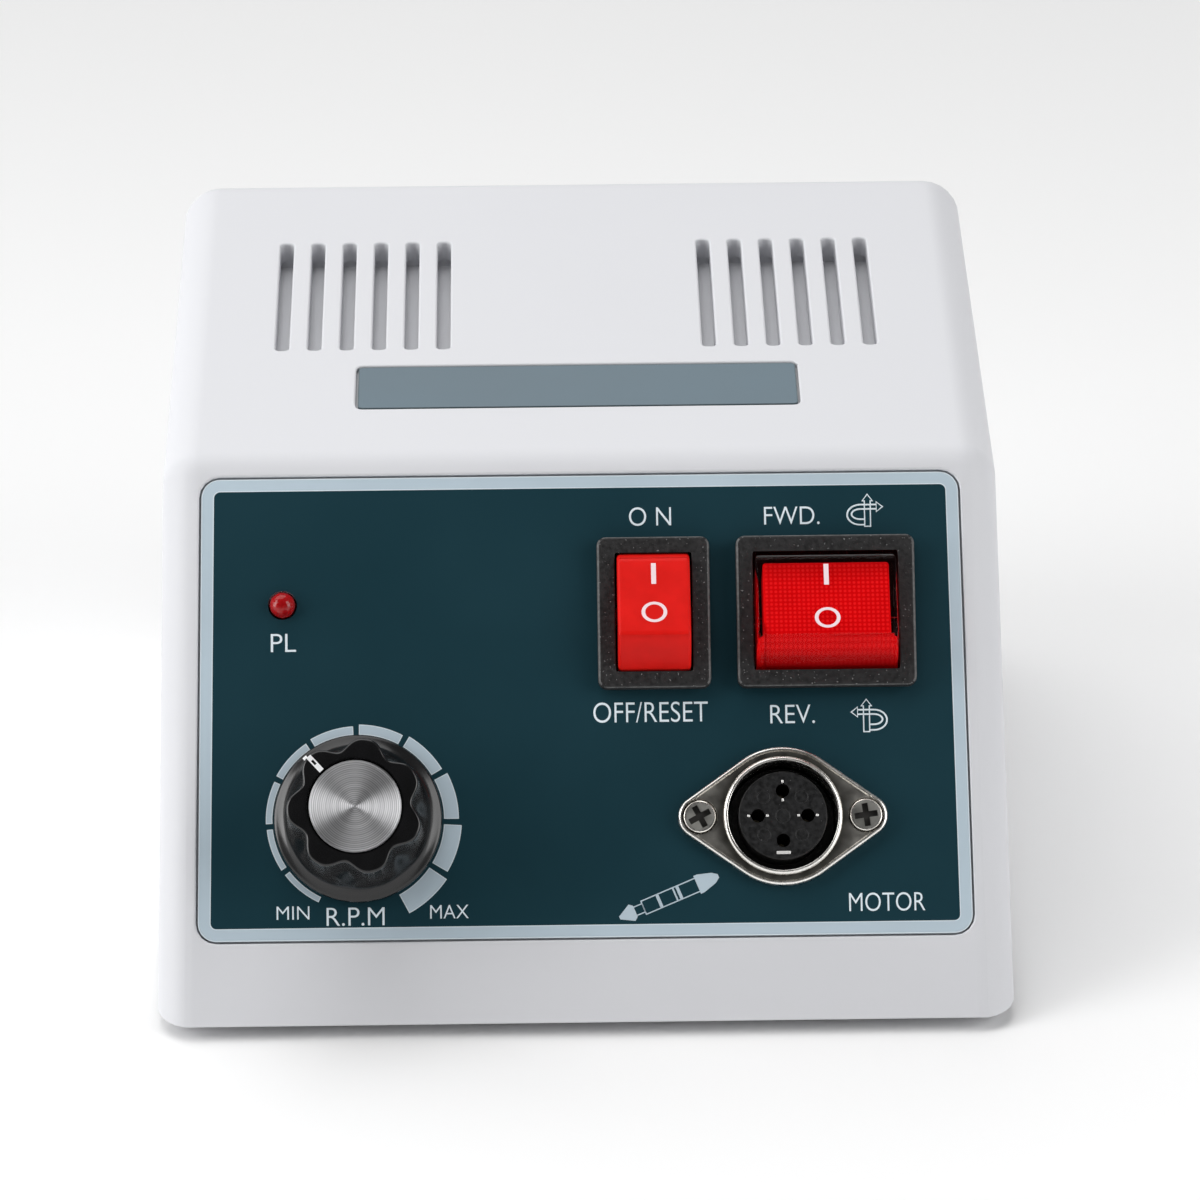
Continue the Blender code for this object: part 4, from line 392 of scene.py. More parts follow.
# %% Room light
ROOM_DIM = 0.15
ROOM_HORIZON = 1.0
HORIZON_TOP = 0.1
DIM_FROM = 0.48
ROOM_ON_MATT = 0.3
FRONT_DIM = 0.25
FRONT_FROM = -0.2
FRONT_TO = -0.7

world = bpy.data.worlds.new("studio")
world.use_nodes = True
bpy.context.scene.world = world
room = world.node_tree
outward = node(room, "TexCoord", out="Generated")
upward = node(room, "SeparateXYZ", {0: outward}, out="Z")
rearward = node(room, "SeparateXYZ", {0: outward}, out="Y")
fade = {
    "Value": upward,
    "From Min": HORIZON_TOP,
    "From Max": DIM_FROM,
    "To Min": ROOM_HORIZON,
    "To Max": ROOM_DIM,
}
glow = node(room, "MapRange", fade, interpolation_type="SMOOTHSTEP")
ray = room.nodes.new("ShaderNodeLightPath").outputs
mirrored = calculate(room, "MAXIMUM", ray["Is Camera Ray"], ray["Is Glossy Ray"])
plainly_seen = calculate(room, "MAXIMUM", mirrored, ray["Is Transmission Ray"])
level_of_room = spread(room, plainly_seen, 0.0, 1.0, ROOM_ON_MATT, 1.0)
front_side = spread(room, rearward, FRONT_FROM, FRONT_TO, 1.0, FRONT_DIM)
front_level = calculate(room, "MAXIMUM", front_side, ray["Is Camera Ray"])
room_level = calculate(room, "MULTIPLY", glow, level_of_room)
strength = calculate(room, "MULTIPLY", room_level, front_level)
room.links.new(strength, room.nodes["Background"].inputs["Strength"])
room.nodes["Background"].inputs["Color"].default_value = (1, 1, 1, 1)
print("room nodes", len(room.nodes))

# %% Lamps
LAMP_AIM = Vector((0, 0, 0.04))


def soft_lamp(name, spot, width, height, power, mirrored=True):
    """A rectangular soft box, turned to face the object, that glossy faces may mirror or not."""
    bpy.ops.object.light_add(type="AREA", location=spot)
    lamp = bpy.context.object
    lamp.name = name
    lamp.data.shape = "RECTANGLE"
    lamp.data.size = width
    lamp.data.size_y = height
    lamp.data.energy = power
    lamp.visible_glossy = mirrored
    lamp.rotation_euler = (Vector(spot) - LAMP_AIM).to_track_quat("Z", "Y").to_euler()


def broad_sun(name, toward, strength, spread_angle):
    """Even light from far off, from a wide disc, so that its shadows are soft."""
    bpy.ops.object.light_add(type="SUN")
    sun = bpy.context.object
    sun.name = name
    sun.data.energy = strength
    sun.data.angle = math.radians(spread_angle)
    sun.rotation_euler = Vector(toward).to_track_quat("Z", "Y").to_euler()


broad_sun("key_light", (-0.22, 0.5, 0.84), 1.76, 70)
soft_lamp("top_box", (-0.08, -0.06, 0.42), 0.3, 0.3, 0.345, mirrored=False)
soft_lamp("left_box", (-0.9, -0.25, 0.42), 0.5, 0.9, 6.6)
soft_lamp("right_box", (0.8, -0.42, 0.42), 0.5, 0.9, 4.6)
print("lamps", len(bpy.data.lights))

# %% [markdown]
# ## The housing
# The real one is a single moulding in white plastic: a wedge with rounded edges, twelve vent
# slots and a shallow recess for the panel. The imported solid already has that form, so modelling
# it again would gain nothing. A copy of it is merged, its flat faces are cleaned up, and the
# rims of the slots and recesses get the small rounding that a mould leaves, which is what
# catches the light in the photograph.

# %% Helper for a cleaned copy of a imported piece
MERGE_DISTANCE = 0.002 * MM
FLAT_ANGLE = math.radians(0.6)


def cleaned_copy(node_name, piece_name):
    """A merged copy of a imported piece, which then stands for it."""
    source = frame["nodes"][node_name]
    piece = bpy.data.objects.new(piece_name, source.data.copy())
    bpy.context.scene.collection.objects.link(piece)
    open_mesh(piece)
    bpy.ops.mesh.customdata_custom_splitnormals_clear()
    bpy.ops.mesh.remove_doubles(threshold=MERGE_DISTANCE)
    bpy.ops.mesh.dissolve_limited(angle_limit=FLAT_ANGLE)
    close_mesh()
    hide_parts(node_name)
    return piece


# %% White moulded plastic
look = {"tone": 0.012, "patch": 40, "gloss": 0.04, "grain": 0.22, "relief": 0.004}
white_plastic = surface("moulded_white", (0.69, 0.695, 0.722), 0.5, extra={SPECULAR: 0.4}, **look)
print("finish", white_plastic.name)

# %% Helper for outlines
HULL_FLAT = math.radians(0.3)


def hull_of_discs(name, discs, low, high, sides=ROUND_SIDES):
    """A slab with the outline that a band makes round several discs."""
    circle = bpy.ops.mesh.primitive_circle_add
    circles = [added(circle, name, vertices=sides, radius=r, location=(x, y, low)) for x, y, r in discs]
    made = join(circles)
    open_mesh(made)
    raise_by(high - low)
    bpy.ops.mesh.select_all(action="SELECT")
    bpy.ops.mesh.convex_hull()
    bpy.ops.mesh.select_all(action="SELECT")
    bpy.ops.mesh.dissolve_limited(angle_limit=HULL_FLAT)
    close_outward()
    return made


# %% Housing
SLOTS_PER_GROUP = 6
SLOT_PITCH = 4.5 * MM
SLOT_WIDTH = 1.92 * MM
SLOT_LENGTH = 30.1 * MM
SLOT_CORNER = 0.74 * MM
CORNER_SIDES = 32
SLOT_DEPTH = 5 * MM
SLOT_MIDDLE = 43.8 * MM
SLOT_GROUP_X = 29.785 * MM
RIM_ROUNDING = 0.3 * MM
RIM_STEPS = 3
RIM_ANGLE = math.radians(60)
EDGE_DEPTH = 0.05 * MM


def on_face(vertex, face):
    return abs((face.inverted() @ vertex.co).z) < EDGE_DEPTH


def is_rim(edge):
    """A sharp edge that lies in the flat of the top, the front or the rear."""
    if len(edge.link_faces) != 2 or edge.calc_face_angle(0) < RIM_ANGLE:
        return False
    faces = (top_face, panel_face, rear_face)
    return any(all(on_face(vertex, face) for vertex in edge.verts) for face in faces)


def slot_cutter(x, y):
    """A bar along Y with rounded corners, which reaches from above the top to under its wall."""
    across = SLOT_WIDTH / 2 - SLOT_CORNER
    along = SLOT_LENGTH / 2 - SLOT_CORNER
    corners = [(x + i * across, y + j * along, SLOT_CORNER) for i in (-1, 1) for j in (-1, 1)]
    made = hull_of_discs("slot_cutter", corners, -SLOT_DEPTH, MM, CORNER_SIDES)
    made.data.transform(top_face)
    return made


housing_piece = cleaned_copy("housing", "housing_shell")
for side in (-1, 1):
    for number in range(SLOTS_PER_GROUP):
        slot_x = side * SLOT_GROUP_X + (number - (SLOTS_PER_GROUP - 1) / 2) * SLOT_PITCH
        carve(housing_piece, slot_cutter(slot_x, SLOT_MIDDLE))
open_mesh(housing_piece)
rims = pick(housing_piece, "EDGE", is_rim)
bpy.ops.mesh.bevel(offset=RIM_ROUNDING, segments=RIM_STEPS, clamp_overlap=False, affect="EDGES")
close_mesh()
smooth(housing_piece)
lay_on(housing_piece, Matrix(), "housing", "housing_plastic", white_plastic)
print("rim edges rounded", rims)

# %% [markdown]
# Below each group of slots hangs a shelf. It keeps spilled drops off the mains parts, and it is
# what one sees through the slots. It is a slab on three ribs, open in front, so that warm air
# still gets out, and it falls a little to the rear, so that drops run off.

# %% Drip shelves
SHELF_WIDTH = 31 * MM
SHELF_LENGTH = 36 * MM
SHELF_TOP = -4.1 * MM
SHELF_RISE = 0.95 * MM
SHELF_THICKNESS = 1.2 * MM
RIB_THICKNESS = 1.2 * MM
RIB_TOP = -2.9 * MM
RIB_REAR_GAP = 0.1 * MM
RIB_BAND = 0.2 * MM
SHELF_EASE = 0.15 * MM

for side, side_name in ((-1, "left"), (1, "right")):
    middle = side * SLOT_GROUP_X
    shelf = block(SHELF_WIDTH, SHELF_LENGTH, SHELF_TOP - SHELF_THICKNESS, SHELF_TOP, middle, SLOT_MIDDLE)
    for edge_side in (-1, 1):
        rib_x = middle + edge_side * (SHELF_WIDTH - RIB_THICKNESS) / 2
        carve(shelf, block(RIB_THICKNESS, SHELF_LENGTH, SHELF_TOP - MM, RIB_TOP, rib_x, SLOT_MIDDLE), "UNION")
    rear_y = SLOT_MIDDLE + SLOT_LENGTH / 2 + RIB_THICKNESS / 2 + RIB_REAR_GAP
    carve(shelf, block(SHELF_WIDTH, RIB_THICKNESS, SHELF_TOP - MM, RIB_TOP, middle, rear_y), "UNION")
    ease(shelf, SHELF_EASE, 2)
    for vertex in shelf.data.vertices:
        if vertex.co.z < RIB_TOP - RIB_BAND:
            vertex.co.z += SHELF_RISE * (rear_y - vertex.co.y) / SHELF_LENGTH
    shelf.name = f"drip_shelf_{side_name}"
    lay_on(shelf, top_face, "housing", "housing_plastic", white_plastic)

# %% [markdown]
# ## The printed panel
# It is a sheet of printed polyester: a dark teal field inside a pale border, sunk a little in
# the housing. It could be a picture on a plane. Modelled, its edge, its border and its gap are
# real and stay sharp at any distance. It starts as a plane, tapers with the housing, gets its
# round corners from a bevel, and its border from an inset.

# %% Inks and films
def satin_film(name, color, roughness, level):
    """Printed or painted film, with its own share of mirrored light."""
    look = {"tone": 0.06, "patch": 25, "gloss": 0.03, "grain": 0.25, "relief": 0.003}
    return surface(name, color, roughness, extra={SPECULAR: level}, **look)


teal_film = satin_film("teal_film", (0.0068, 0.0355, 0.0485), 0.42, 0.25)
border_ink = satin_film("border_ink", (0.49, 0.59, 0.66), 0.42, 0.3)
line_ink = satin_film("line_ink", (0.68, 0.76, 0.81), 0.42, 0.3)
letter_ink = satin_film("letter_ink", (0.77, 0.85, 0.90), 0.45, 0.3)
print("inks", teal_film.name, border_ink.name, line_ink.name, letter_ink.name)

# %% Panel blank
PANEL_LOW = 11.5 * MM
PANEL_HIGH = 74.2 * MM
PANEL_SIDE_MARGIN = 5.5 * MM
PANEL_CORNER = 2.5 * MM
PANEL_FACE = -0.2 * MM
PANEL_THICKNESS = 0.8 * MM
CORNER_STEPS = 12
BORDER_WIDTH = 1.7 * MM
LINE_WIDTH = 0.13 * MM
UPWARD = 0.9
MANY_CORNERS = 8


def half_width(up):
    """Half the printed panel's width at a height up the face, which narrows with the housing."""
    rise = up * math.cos(PANEL_LEAN)
    return housing_high.x - rise * math.tan(SIDE_DRAFT) - PANEL_SIDE_MARGIN


def rounded_plate(name, corners, radius, low, high):
    """A plate with round corners, from a plane whose corners are moved and bevelled."""
    plate = added(bpy.ops.mesh.primitive_plane_add, name, size=1)
    for vertex, (x, y) in zip(plate.data.vertices, corners):
        vertex.co = (x, y, low)
    open_mesh(plate)
    bpy.ops.mesh.bevel(offset=radius, segments=CORNER_STEPS, affect="VERTICES")
    raise_by(high - low)
    close_outward()
    return plate


def is_upper(face):
    """The large face on top, to which the round corners give many points."""
    return face.normal.z > UPWARD and len(face.verts) > MANY_CORNERS


def frame_in(plate, rings):
    """Insets the upper face ring by ring. What is left inside a ring gets the finish named with it."""
    open_mesh(plate)
    for width, finish_number in rings:
        pick(plate, "FACE", is_upper)
        bpy.ops.mesh.inset(thickness=width, use_even_offset=True)
        mesh = bmesh.from_edit_mesh(plate.data)
        for face in mesh.faces:
            if face.select:
                face.material_index = finish_number
        bmesh.update_edit_mesh(plate.data)
    close_mesh()


panel_corners = [(side * half_width(up), up) for up in (PANEL_LOW, PANEL_HIGH) for side in (-1, 1)]
panel_plate = rounded_plate(
    "printed_panel", panel_corners, PANEL_CORNER, PANEL_FACE - PANEL_THICKNESS, PANEL_FACE
)
give_finishes(panel_plate, (line_ink, border_ink, teal_film))
frame_in(panel_plate, [(LINE_WIDTH, 1), (BORDER_WIDTH - 2 * LINE_WIDTH, 0), (LINE_WIDTH, 2)])
print("panel corners", panel_corners)

# %% Openings of the panel
SOCKET_X = 26.6 * MM
SOCKET_Y = 27.4 * MM
SCREW_OFFSET = 11.15 * MM
LAMP_X = -40.3 * MM
LAMP_Y = 56.9 * MM
SWITCH_Y = power_spot.y
SWITCH_WINDOW = 19.8 * MM
POWER_WINDOW = 14.0 * MM
DIRECTION_WINDOW = 22.9 * MM
SHAFT_HOLE = 4.5 * MM
SOCKET_HOLE = 8.3 * MM
SCREW_HOLE = 1.6 * MM
LAMP_HOLE = 1.95 * MM
CUT_DEPTH = 3 * MM
HOLE_SIDES = 48

for x, width in ((power_spot.x, POWER_WINDOW), (direction_spot.x, DIRECTION_WINDOW)):
    carve(panel_plate, block(width, SWITCH_WINDOW, -CUT_DEPTH, CUT_DEPTH, x, SWITCH_Y))
round_openings = [
    (speed_spot.x, speed_spot.y, SHAFT_HOLE),
    (SOCKET_X, SOCKET_Y, SOCKET_HOLE),
    (SOCKET_X - SCREW_OFFSET, SOCKET_Y, SCREW_HOLE),
    (SOCKET_X + SCREW_OFFSET, SOCKET_Y, SCREW_HOLE),
    (LAMP_X, LAMP_Y, LAMP_HOLE),
]
for x, y, radius in round_openings:
    carve(panel_plate, rod(radius, -CUT_DEPTH, CUT_DEPTH, x, y, HOLE_SIDES))
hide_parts("front_panel")
lay_on(panel_plate, panel_face, "housing", "panel_print")

# %% [markdown]
# ## Words on the panel
# Only generic words are printed: what each control does. Blender's own plain typeface is
# stretched to the width and height that the printed words have, which makes it as narrow as a
# control panel's lettering. Each word becomes a film of ink, thinner than a hair.

# %% Words
INK = 0.03 * MM
INK_FACE = PANEL_FACE + INK / 2
WORD_DEPTH = 0.05
WORD_THINNING = -0.007
WORD_CURVES = 6
WORD_MERGE = 0.0001

# Each row has a name, the words, their middle to the right and up the face, width and height in mm.
WORDS = [
    ("word_on", "O N", 9.42, 68.5, 5.7, 2.55),
    ("word_off_reset", "OFF/RESET", 9.1, 41.8, 15.4, 2.75),
    ("word_forward", "FWD.", 28.6, 68.4, 7.5, 2.45),
    ("word_reverse", "REV.", 28.2, 41.3, 6.0, 2.52),
    ("word_lamp", "PL", -40.2, 51.8, 3.4, 2.45),
    ("word_min", "MIN", -39.12, 15.26, 4.39, 1.77),
    ("word_rpm", "R.P.M", -30.76, 14.67, 7.76, 2.44),
    ("word_max", "MAX", -18.21, 15.19, 5.15, 1.82),
    ("word_motor", "MOTOR", 40.4, 15.8, 10.2, 2.5),
]


def fit_to(piece, x, y, width, height):
    """Stretches a word to a width and a height about a middle point, and to the ink's thickness."""
    corners = [vertex.co for vertex in piece.data.vertices]
    low = Vector(min(corner[axis] for corner in corners) for axis in range(3))
    high = Vector(max(corner[axis] for corner in corners) for axis in range(3))
    size = high - low
    scale = Matrix.Diagonal((width / size.x, height / size.y, INK / size.z, 1))
    piece.data.transform(Matrix.Translation((x, y, INK_FACE)) @ scale @ Matrix.Translation(-(low + high) / 2))


def printed_word(name, words):
    bpy.ops.object.select_all(action="DESELECT")
    bpy.ops.object.text_add()
    text = bpy.context.object.data
    text.body = words
    text.extrude = WORD_DEPTH
    text.offset = WORD_THINNING
    text.resolution_u = WORD_CURVES
    bpy.ops.object.convert(target="MESH")
    word = bpy.context.object
    word.name = name
    open_mesh(word)
    bpy.ops.mesh.remove_doubles(threshold=WORD_MERGE)
    close_mesh()
    return word


for name, words, x, y, width, height in WORDS:
    word = printed_word(name, words)
    fit_to(word, x * MM, y * MM, width * MM, height * MM)
    lay_on(word, panel_face, "housing", "panel_print", letter_ink)

# %% [markdown]
# ## The speed scale
# Ten pale segments run round the knob and grow wider towards the fast end. Each is one short
# line of ink spun about the knob's axis, which gives a true arc, and an inset gives it the
# lighter outline of the print.

# %% Speed scale
SCALE_COUNT = 10
SCALE_START = math.radians(244)
SCALE_SWEEP = math.radians(306)
SCALE_GAP = math.radians(3.6)
SCALE_INNER = 11.5 * MM
SCALE_OUTER = 12.3 * MM
SCALE_GROWTH = 2.3 * MM
SCALE_BEND = 2.3
SCALE_STEPS = 14
OUTLINE_WIDTH = 0.12 * MM


def scale_segment(start, sweep, outer):
    """One segment, from a radial line that is spun about the knob's axis."""
    segment = added(bpy.ops.mesh.primitive_plane_add, "segment", size=1)
    open_mesh(segment)
    bpy.ops.mesh.delete(type="ONLY_FACE")
    pick(segment, "VERT", lambda vertex: vertex.index > 1)
    bpy.ops.mesh.delete(type="VERT")
    close_mesh()
    for vertex, radius in zip(segment.data.vertices, (SCALE_INNER, outer)):
        vertex.co = (radius * math.cos(start), radius * math.sin(start), 0)
    open_mesh(segment)
    bpy.ops.mesh.spin(steps=SCALE_STEPS, angle=sweep, center=(0, 0, 0), axis=(0, 0, 1))
    bpy.ops.mesh.select_all(action="SELECT")
    bpy.ops.mesh.dissolve_limited(angle_limit=FLAT_ANGLE, use_dissolve_boundaries=False)
    raise_by(INK)
    close_outward()
    give_finishes(segment, (line_ink, border_ink))
    frame_in(segment, [(OUTLINE_WIDTH, 1)])
    return segment


segments = []
segment_sweep = (SCALE_SWEEP - SCALE_GAP * (SCALE_COUNT - 1)) / SCALE_COUNT
for number in range(SCALE_COUNT):
    outer = SCALE_OUTER + SCALE_GROWTH * ((number + 0.5) / SCALE_COUNT) ** SCALE_BEND
    segments.append(scale_segment(SCALE_START - number * (segment_sweep + SCALE_GAP), segment_sweep, outer))
speed_scale = join(segments)
speed_scale.name = "speed_scale"
speed_scale.data.transform(Matrix.Translation((speed_spot.x, speed_spot.y, PANEL_FACE)))
lay_on(speed_scale, panel_face, "housing", "panel_print")

# %% [markdown]
# ## Pictograms
# Two small signs show the sense of rotation, and one shows a handpiece. They are drawn here to a
# design of their own, in ink lines: a line is a curve with a thin bevel, made a mesh and pressed
# flat.

# %% Ink lines
LINE_INK = 0.24 * MM


def ink_lines(name, strokes, x, y, turn_angle=0.0, mirrored=False):
    """Draws strokes, each a list of points in mm and whether it closes, as one flat mesh."""
    curve = bpy.data.curves.new(name, "CURVE")
    curve.dimensions = "3D"
    curve.bevel_depth = LINE_INK / 2
    curve.bevel_resolution = 1
    curve.use_fill_caps = True
    for points, closed in strokes:
        spline = curve.splines.new("POLY")
        spline.points.add(len(points) - 1)
        spline.use_cyclic_u = closed
        for point, (px, py) in zip(spline.points, points):
            point.co = (px * MM, py * MM, 0, 1)
    drawing = bpy.data.objects.new(name, curve)
    bpy.context.scene.collection.objects.link(drawing)
    select_only(drawing)
    bpy.ops.object.convert(target="MESH")
    drawing = bpy.context.object
    side = -1 if mirrored else 1
    flat = Matrix.Diagonal((side, 1, INK / LINE_INK, 1))
    drawing.data.transform(Matrix.Translation((x, y, INK_FACE)) @ Matrix.Rotation(turn_angle, 4, "Z") @ flat)
    if mirrored:
        drawing.data.flip_normals()
    return drawing


# %% Rotation signs
SIGN_X = 38.5 * MM
SIGN_HEIGHTS = {"forward_sign": 69.0 * MM, "reverse_sign": 41.0 * MM}


def arc_points(half_x, half_y, x, y, start, end, steps=20):
    """Points on an oval about a middle, from one angle to another, both in degrees."""
    points = []
    for step in range(steps + 1):
        angle = math.radians(start + (end - start) * step / steps)
        points.append((x + half_x * math.cos(angle), y + half_y * math.sin(angle)))
    return points


spindle = [(-0.75, -2.2), (0.05, -2.2), (0.05, 1.3), (0.35, 1.3), (-0.35, 2.2), (-1.05, 1.3), (-0.75, 1.3)]
outer_turn = arc_points(1.75, 1.38, 0.65, -0.6, 90, -90)
inner_turn = arc_points(1.2, 0.7, 0.6, -0.52, 90, -90)
band = [(-1.6, 0.78)] + outer_turn + [(0.05, -1.98)]
inner_band = [(-1.6, 0.18)] + inner_turn + [(0.05, -1.22)]
arrow = [(-2.4, 0.48), (-1.55, 1.15), (-1.55, -0.19)]
rotation_strokes = [(spindle, True), (band, False), (inner_band, False), (arrow, True)]
for name, y in SIGN_HEIGHTS.items():
    sign = ink_lines(name, rotation_strokes, SIGN_X, y, mirrored=name == "forward_sign")
    lay_on(sign, panel_face, "housing", "panel_print", letter_ink)


# %% Handpiece sign
HANDPIECE_X = 11.2 * MM
HANDPIECE_Y = 16.8 * MM
HANDPIECE_SLANT = math.radians(22.5)


def ink_patch(name, points):
    """A filled outline: a ring of points with a face, as thick as the ink."""
    patch = added(bpy.ops.mesh.primitive_circle_add, name, vertices=len(points), radius=1, fill_type="NGON")
    for vertex, (px, py) in zip(patch.data.vertices, points):
        vertex.co = (px * MM, py * MM, -INK / 2)
    open_mesh(patch)
    raise_by(INK)
    close_outward()
    return patch


barrel = [(-3.7, -0.95), (4.2, -0.95), (4.2, 0.95), (-3.7, 0.95)]
neck = [(-5.0, -0.6), (-3.7, -0.6), (-3.7, 0.6), (-5.0, 0.6)]
bands = [([(x, -0.95), (x, 0.95)], False) for x in (-1.5, -1.3, 0.9, 1.4, 1.6)]
nose = [(-7.2, -0.2), (-5.4, -1.2), (-4.9, -0.8), (-4.9, 0.8), (-5.4, 1.2), (-7.2, 0.2)]
tail = [(4.1, -1.3), (4.6, -1.3), (6.5, -0.75), (7.2, -0.25)]
tail += [(x, -y) for x, y in reversed(tail)]
handpiece_strokes = [(barrel, True), (neck, True)] + bands
handpiece_lines = ink_lines("handpiece_lines", handpiece_strokes, HANDPIECE_X, HANDPIECE_Y, HANDPIECE_SLANT)
lay_on(handpiece_lines, panel_face, "housing", "panel_print", border_ink)
handpiece_turn = Matrix.Rotation(HANDPIECE_SLANT, 4, "Z")
handpiece_place = Matrix.Translation((HANDPIECE_X, HANDPIECE_Y, INK_FACE)) @ handpiece_turn
for name, points in (("handpiece_nose", nose), ("handpiece_tail", tail)):
    lay_on(ink_patch(name, points), panel_face @ handpiece_place, "housing", "panel_print", border_ink)

# %% [markdown]
# ## The strip on the top
# A second printed strip sits in the top, between the slots and the fold. It is left bare: a plain
# grey film with a fine dark edge, like a name plate before printing.

# %% Name strip
STRIP_WIDTH = 60.5 * MM
STRIP_LENGTH = 10.9 * MM
STRIP_SETBACK = 13.1 * MM
STRIP_FACE = -0.1 * MM
STRIP_THICKNESS = 0.4 * MM
STRIP_CORNER = 0.7 * MM
STRIP_EDGE = 0.14 * MM

strip_film = satin_film("strip_film", (0.108, 0.160, 0.195), 0.4, 0.3)
strip_edge = satin_film("strip_edge", (0.07, 0.105, 0.12), 0.42, 0.35)
strip_corners = [
    (side * STRIP_WIDTH / 2, up) for up in (STRIP_SETBACK, STRIP_SETBACK + STRIP_LENGTH) for side in (-1, 1)
]
strip_low = STRIP_FACE - STRIP_THICKNESS
strip_plate = rounded_plate("top_strip", strip_corners, STRIP_CORNER, strip_low, STRIP_FACE)
give_finishes(strip_plate, (strip_edge, strip_film))
frame_in(strip_plate, [(STRIP_EDGE, 1)])
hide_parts("name_strip")
lay_on(strip_plate, top_face, "housing", "strip_print")

# %% [markdown]
# ## The switches
# Each is a black frame with a rocker in a round well. The frames are cleaned copies whose edges
# are eased. A rocker is modelled from a rod that lies on its side: one cut makes the flat
# face, one the keel, and a bevel the soft edges. Because the whole section turns about the
# rod's own axis, it clears the well at every angle.

# %% Black grained plastic
SPECK_SIZE = 0.26 * MM
SPECK_EDGE = 0.04


def grained_black(name="grained_black", color=(0.017, 0.0165, 0.017), roughness=0.55, dust=0.78):
    """Moulded black with a pitted grain, and dust where the share is under one."""
    look = {"tone": 0.45, "patch": 0.6, "gloss": 0.1, "grain": 0.28, "relief": 0.045}
    material = surface(name, color, roughness, extra={SPECULAR: 0.35}, **look)
    tree = material.node_tree
    specks = node(tree, "TexNoise", {"Vector": object_place(tree), "Scale": 1 / SPECK_SIZE, "Detail": 0.0})
    repaint(material, spread(tree, specks, dust, dust + SPECK_EDGE), (0.2, 0.2, 0.2))
    return material


switch_black = grained_black()
# The lighter grey for the frames' outer edges is a painted highlight.
painted_edge_highlight = grained_black("painted_edge_highlight", (0.10, 0.10, 0.10), 0.5)
print("finishes", switch_black.name, painted_edge_highlight.name)

# %% Switch frames
FRAME_SIZES = {
    "power_switch_body": (power_spot.x, 15 * MM),
    "direction_switch_body": (direction_spot.x, 24 * MM),
}
FRAME_LENGTH = 21 * MM
FRAME_EASE = 0.17 * MM
FRAME_ANGLE = math.radians(38)
EDGE_HIGHLIGHT_BAND = 0.4 * MM

for node_name, (frame_x, frame_width) in FRAME_SIZES.items():
    switch_frame = cleaned_copy(node_name, node_name.replace("body", "frame"))
    switch_frame.data.transform(panel_face.inverted())
    give_finishes(switch_frame, (switch_black, painted_edge_highlight))
    ease(switch_frame, FRAME_EASE, 2, FRAME_ANGLE)
    # Faces on the outer eased edges get the lighter grey: a painted highlight.
    for polygon in switch_frame.data.polygons:
        from_side = frame_width / 2 - abs(polygon.center.x - frame_x)
        from_end = FRAME_LENGTH / 2 - abs(polygon.center.y - SWITCH_Y)
        takes_highlight = 0.25 < polygon.normal.z < 0.97 and min(from_side, from_end) < EDGE_HIGHLIGHT_BAND
        polygon.material_index = 1 if takes_highlight else 0
    lay_on(switch_frame, panel_face, "housing", "switch_plastic")

# %% Rocker stock
ROCKER_RADIUS = 8.8 * MM
ROCKER_FACE = 6.86 * MM
ROCKER_KEEL = 0.6 * MM
ROCKER_REST = math.radians(-15)
ROCKER_GAP = 0.3 * MM
POWER_OPENING = 10.4 * MM
DIRECTION_OPENING = 19.6 * MM
ROCKER_ROUND = 0.5 * MM
ROCKER_SIDES = 144
PIN_RADIUS = 1.2 * MM
PIN_REACH = 1.2 * MM
PIN_SIDES = 32
PLUNGER_RADIUS = 0.9 * MM
PLUNGER_DEPTH = 6.8 * MM
PLUNGER_ROUND = 0.5 * MM


def slice_off(piece, point, outward):
    """Cuts the piece with a plane, drops what lies outside it and closes the cut."""
    open_mesh(piece)
    bpy.ops.mesh.bisect(plane_co=point, plane_no=outward, use_fill=True, clear_outer=True)
    close_mesh()


def lying_rod(name, radius, width, sides):
    sizes = {"vertices": sides, "radius": radius, "depth": width}
    return added(bpy.ops.mesh.primitive_cylinder_add, name, rotation=(0, math.pi / 2, 0), **sizes)


def rocker_stock(name, width, radius, flat):
    """A rod on its side, with a flat face above and a flat keel below."""
    stock = lying_rod(name, radius, width, ROCKER_SIDES)
    slice_off(stock, (0, 0, flat), (0, 0, 1))
    slice_off(stock, (0, 0, -ROCKER_KEEL), (0, 0, -1))
    return stock


def is_upper_edge(edge):
    return edge.calc_face_angle(0) > SMOOTH_ANGLE and max(vertex.co.z for vertex in edge.verts) > 0


def full_rocker(name, half, columns):
    """A rocker: its stock with round upper edges, its two pins, and a plunger over each contact lever."""
    rocker = rocker_stock(name, 2 * half, ROCKER_RADIUS, ROCKER_FACE)
    open_mesh(rocker)
    pick(rocker, "EDGE", is_upper_edge)
    bpy.ops.mesh.bevel(offset=ROCKER_ROUND, segments=5, clamp_overlap=False, affect="EDGES")
    close_mesh()
    carve(rocker, lying_rod("pins", PIN_RADIUS, 2 * (half + PIN_REACH), PIN_SIDES), "UNION")
    for x in columns:
        plunger = rod(PLUNGER_RADIUS, -PLUNGER_DEPTH, 0, x, 0, PIN_SIDES)
        ease(plunger, PLUNGER_ROUND, 4)
        carve(rocker, plunger, "UNION")
    smooth(rocker)
    return rocker


power_face = panel_face @ Matrix.Translation(power_spot) @ Matrix.Rotation(ROCKER_REST, 4, "X")
direction_face = panel_face @ Matrix.Translation(direction_spot) @ Matrix.Rotation(ROCKER_REST, 4, "X")

# %% Red plastic
depth = {"Subsurface Weight": 0.15, "Subsurface Radius": (0.9, 0.15, 0.1), "Subsurface Scale": 1.2 * MM}
look = {"tone": 0.06, "patch": 3, "gloss": 0.07, "grain": 0.18, "relief": 0.006}
red_plastic = surface("rocker_red", (0.74, 0.011, 0.008), 0.36, extra={SPECULAR: 0.12, **depth}, **look)
print("finish", red_plastic.name)

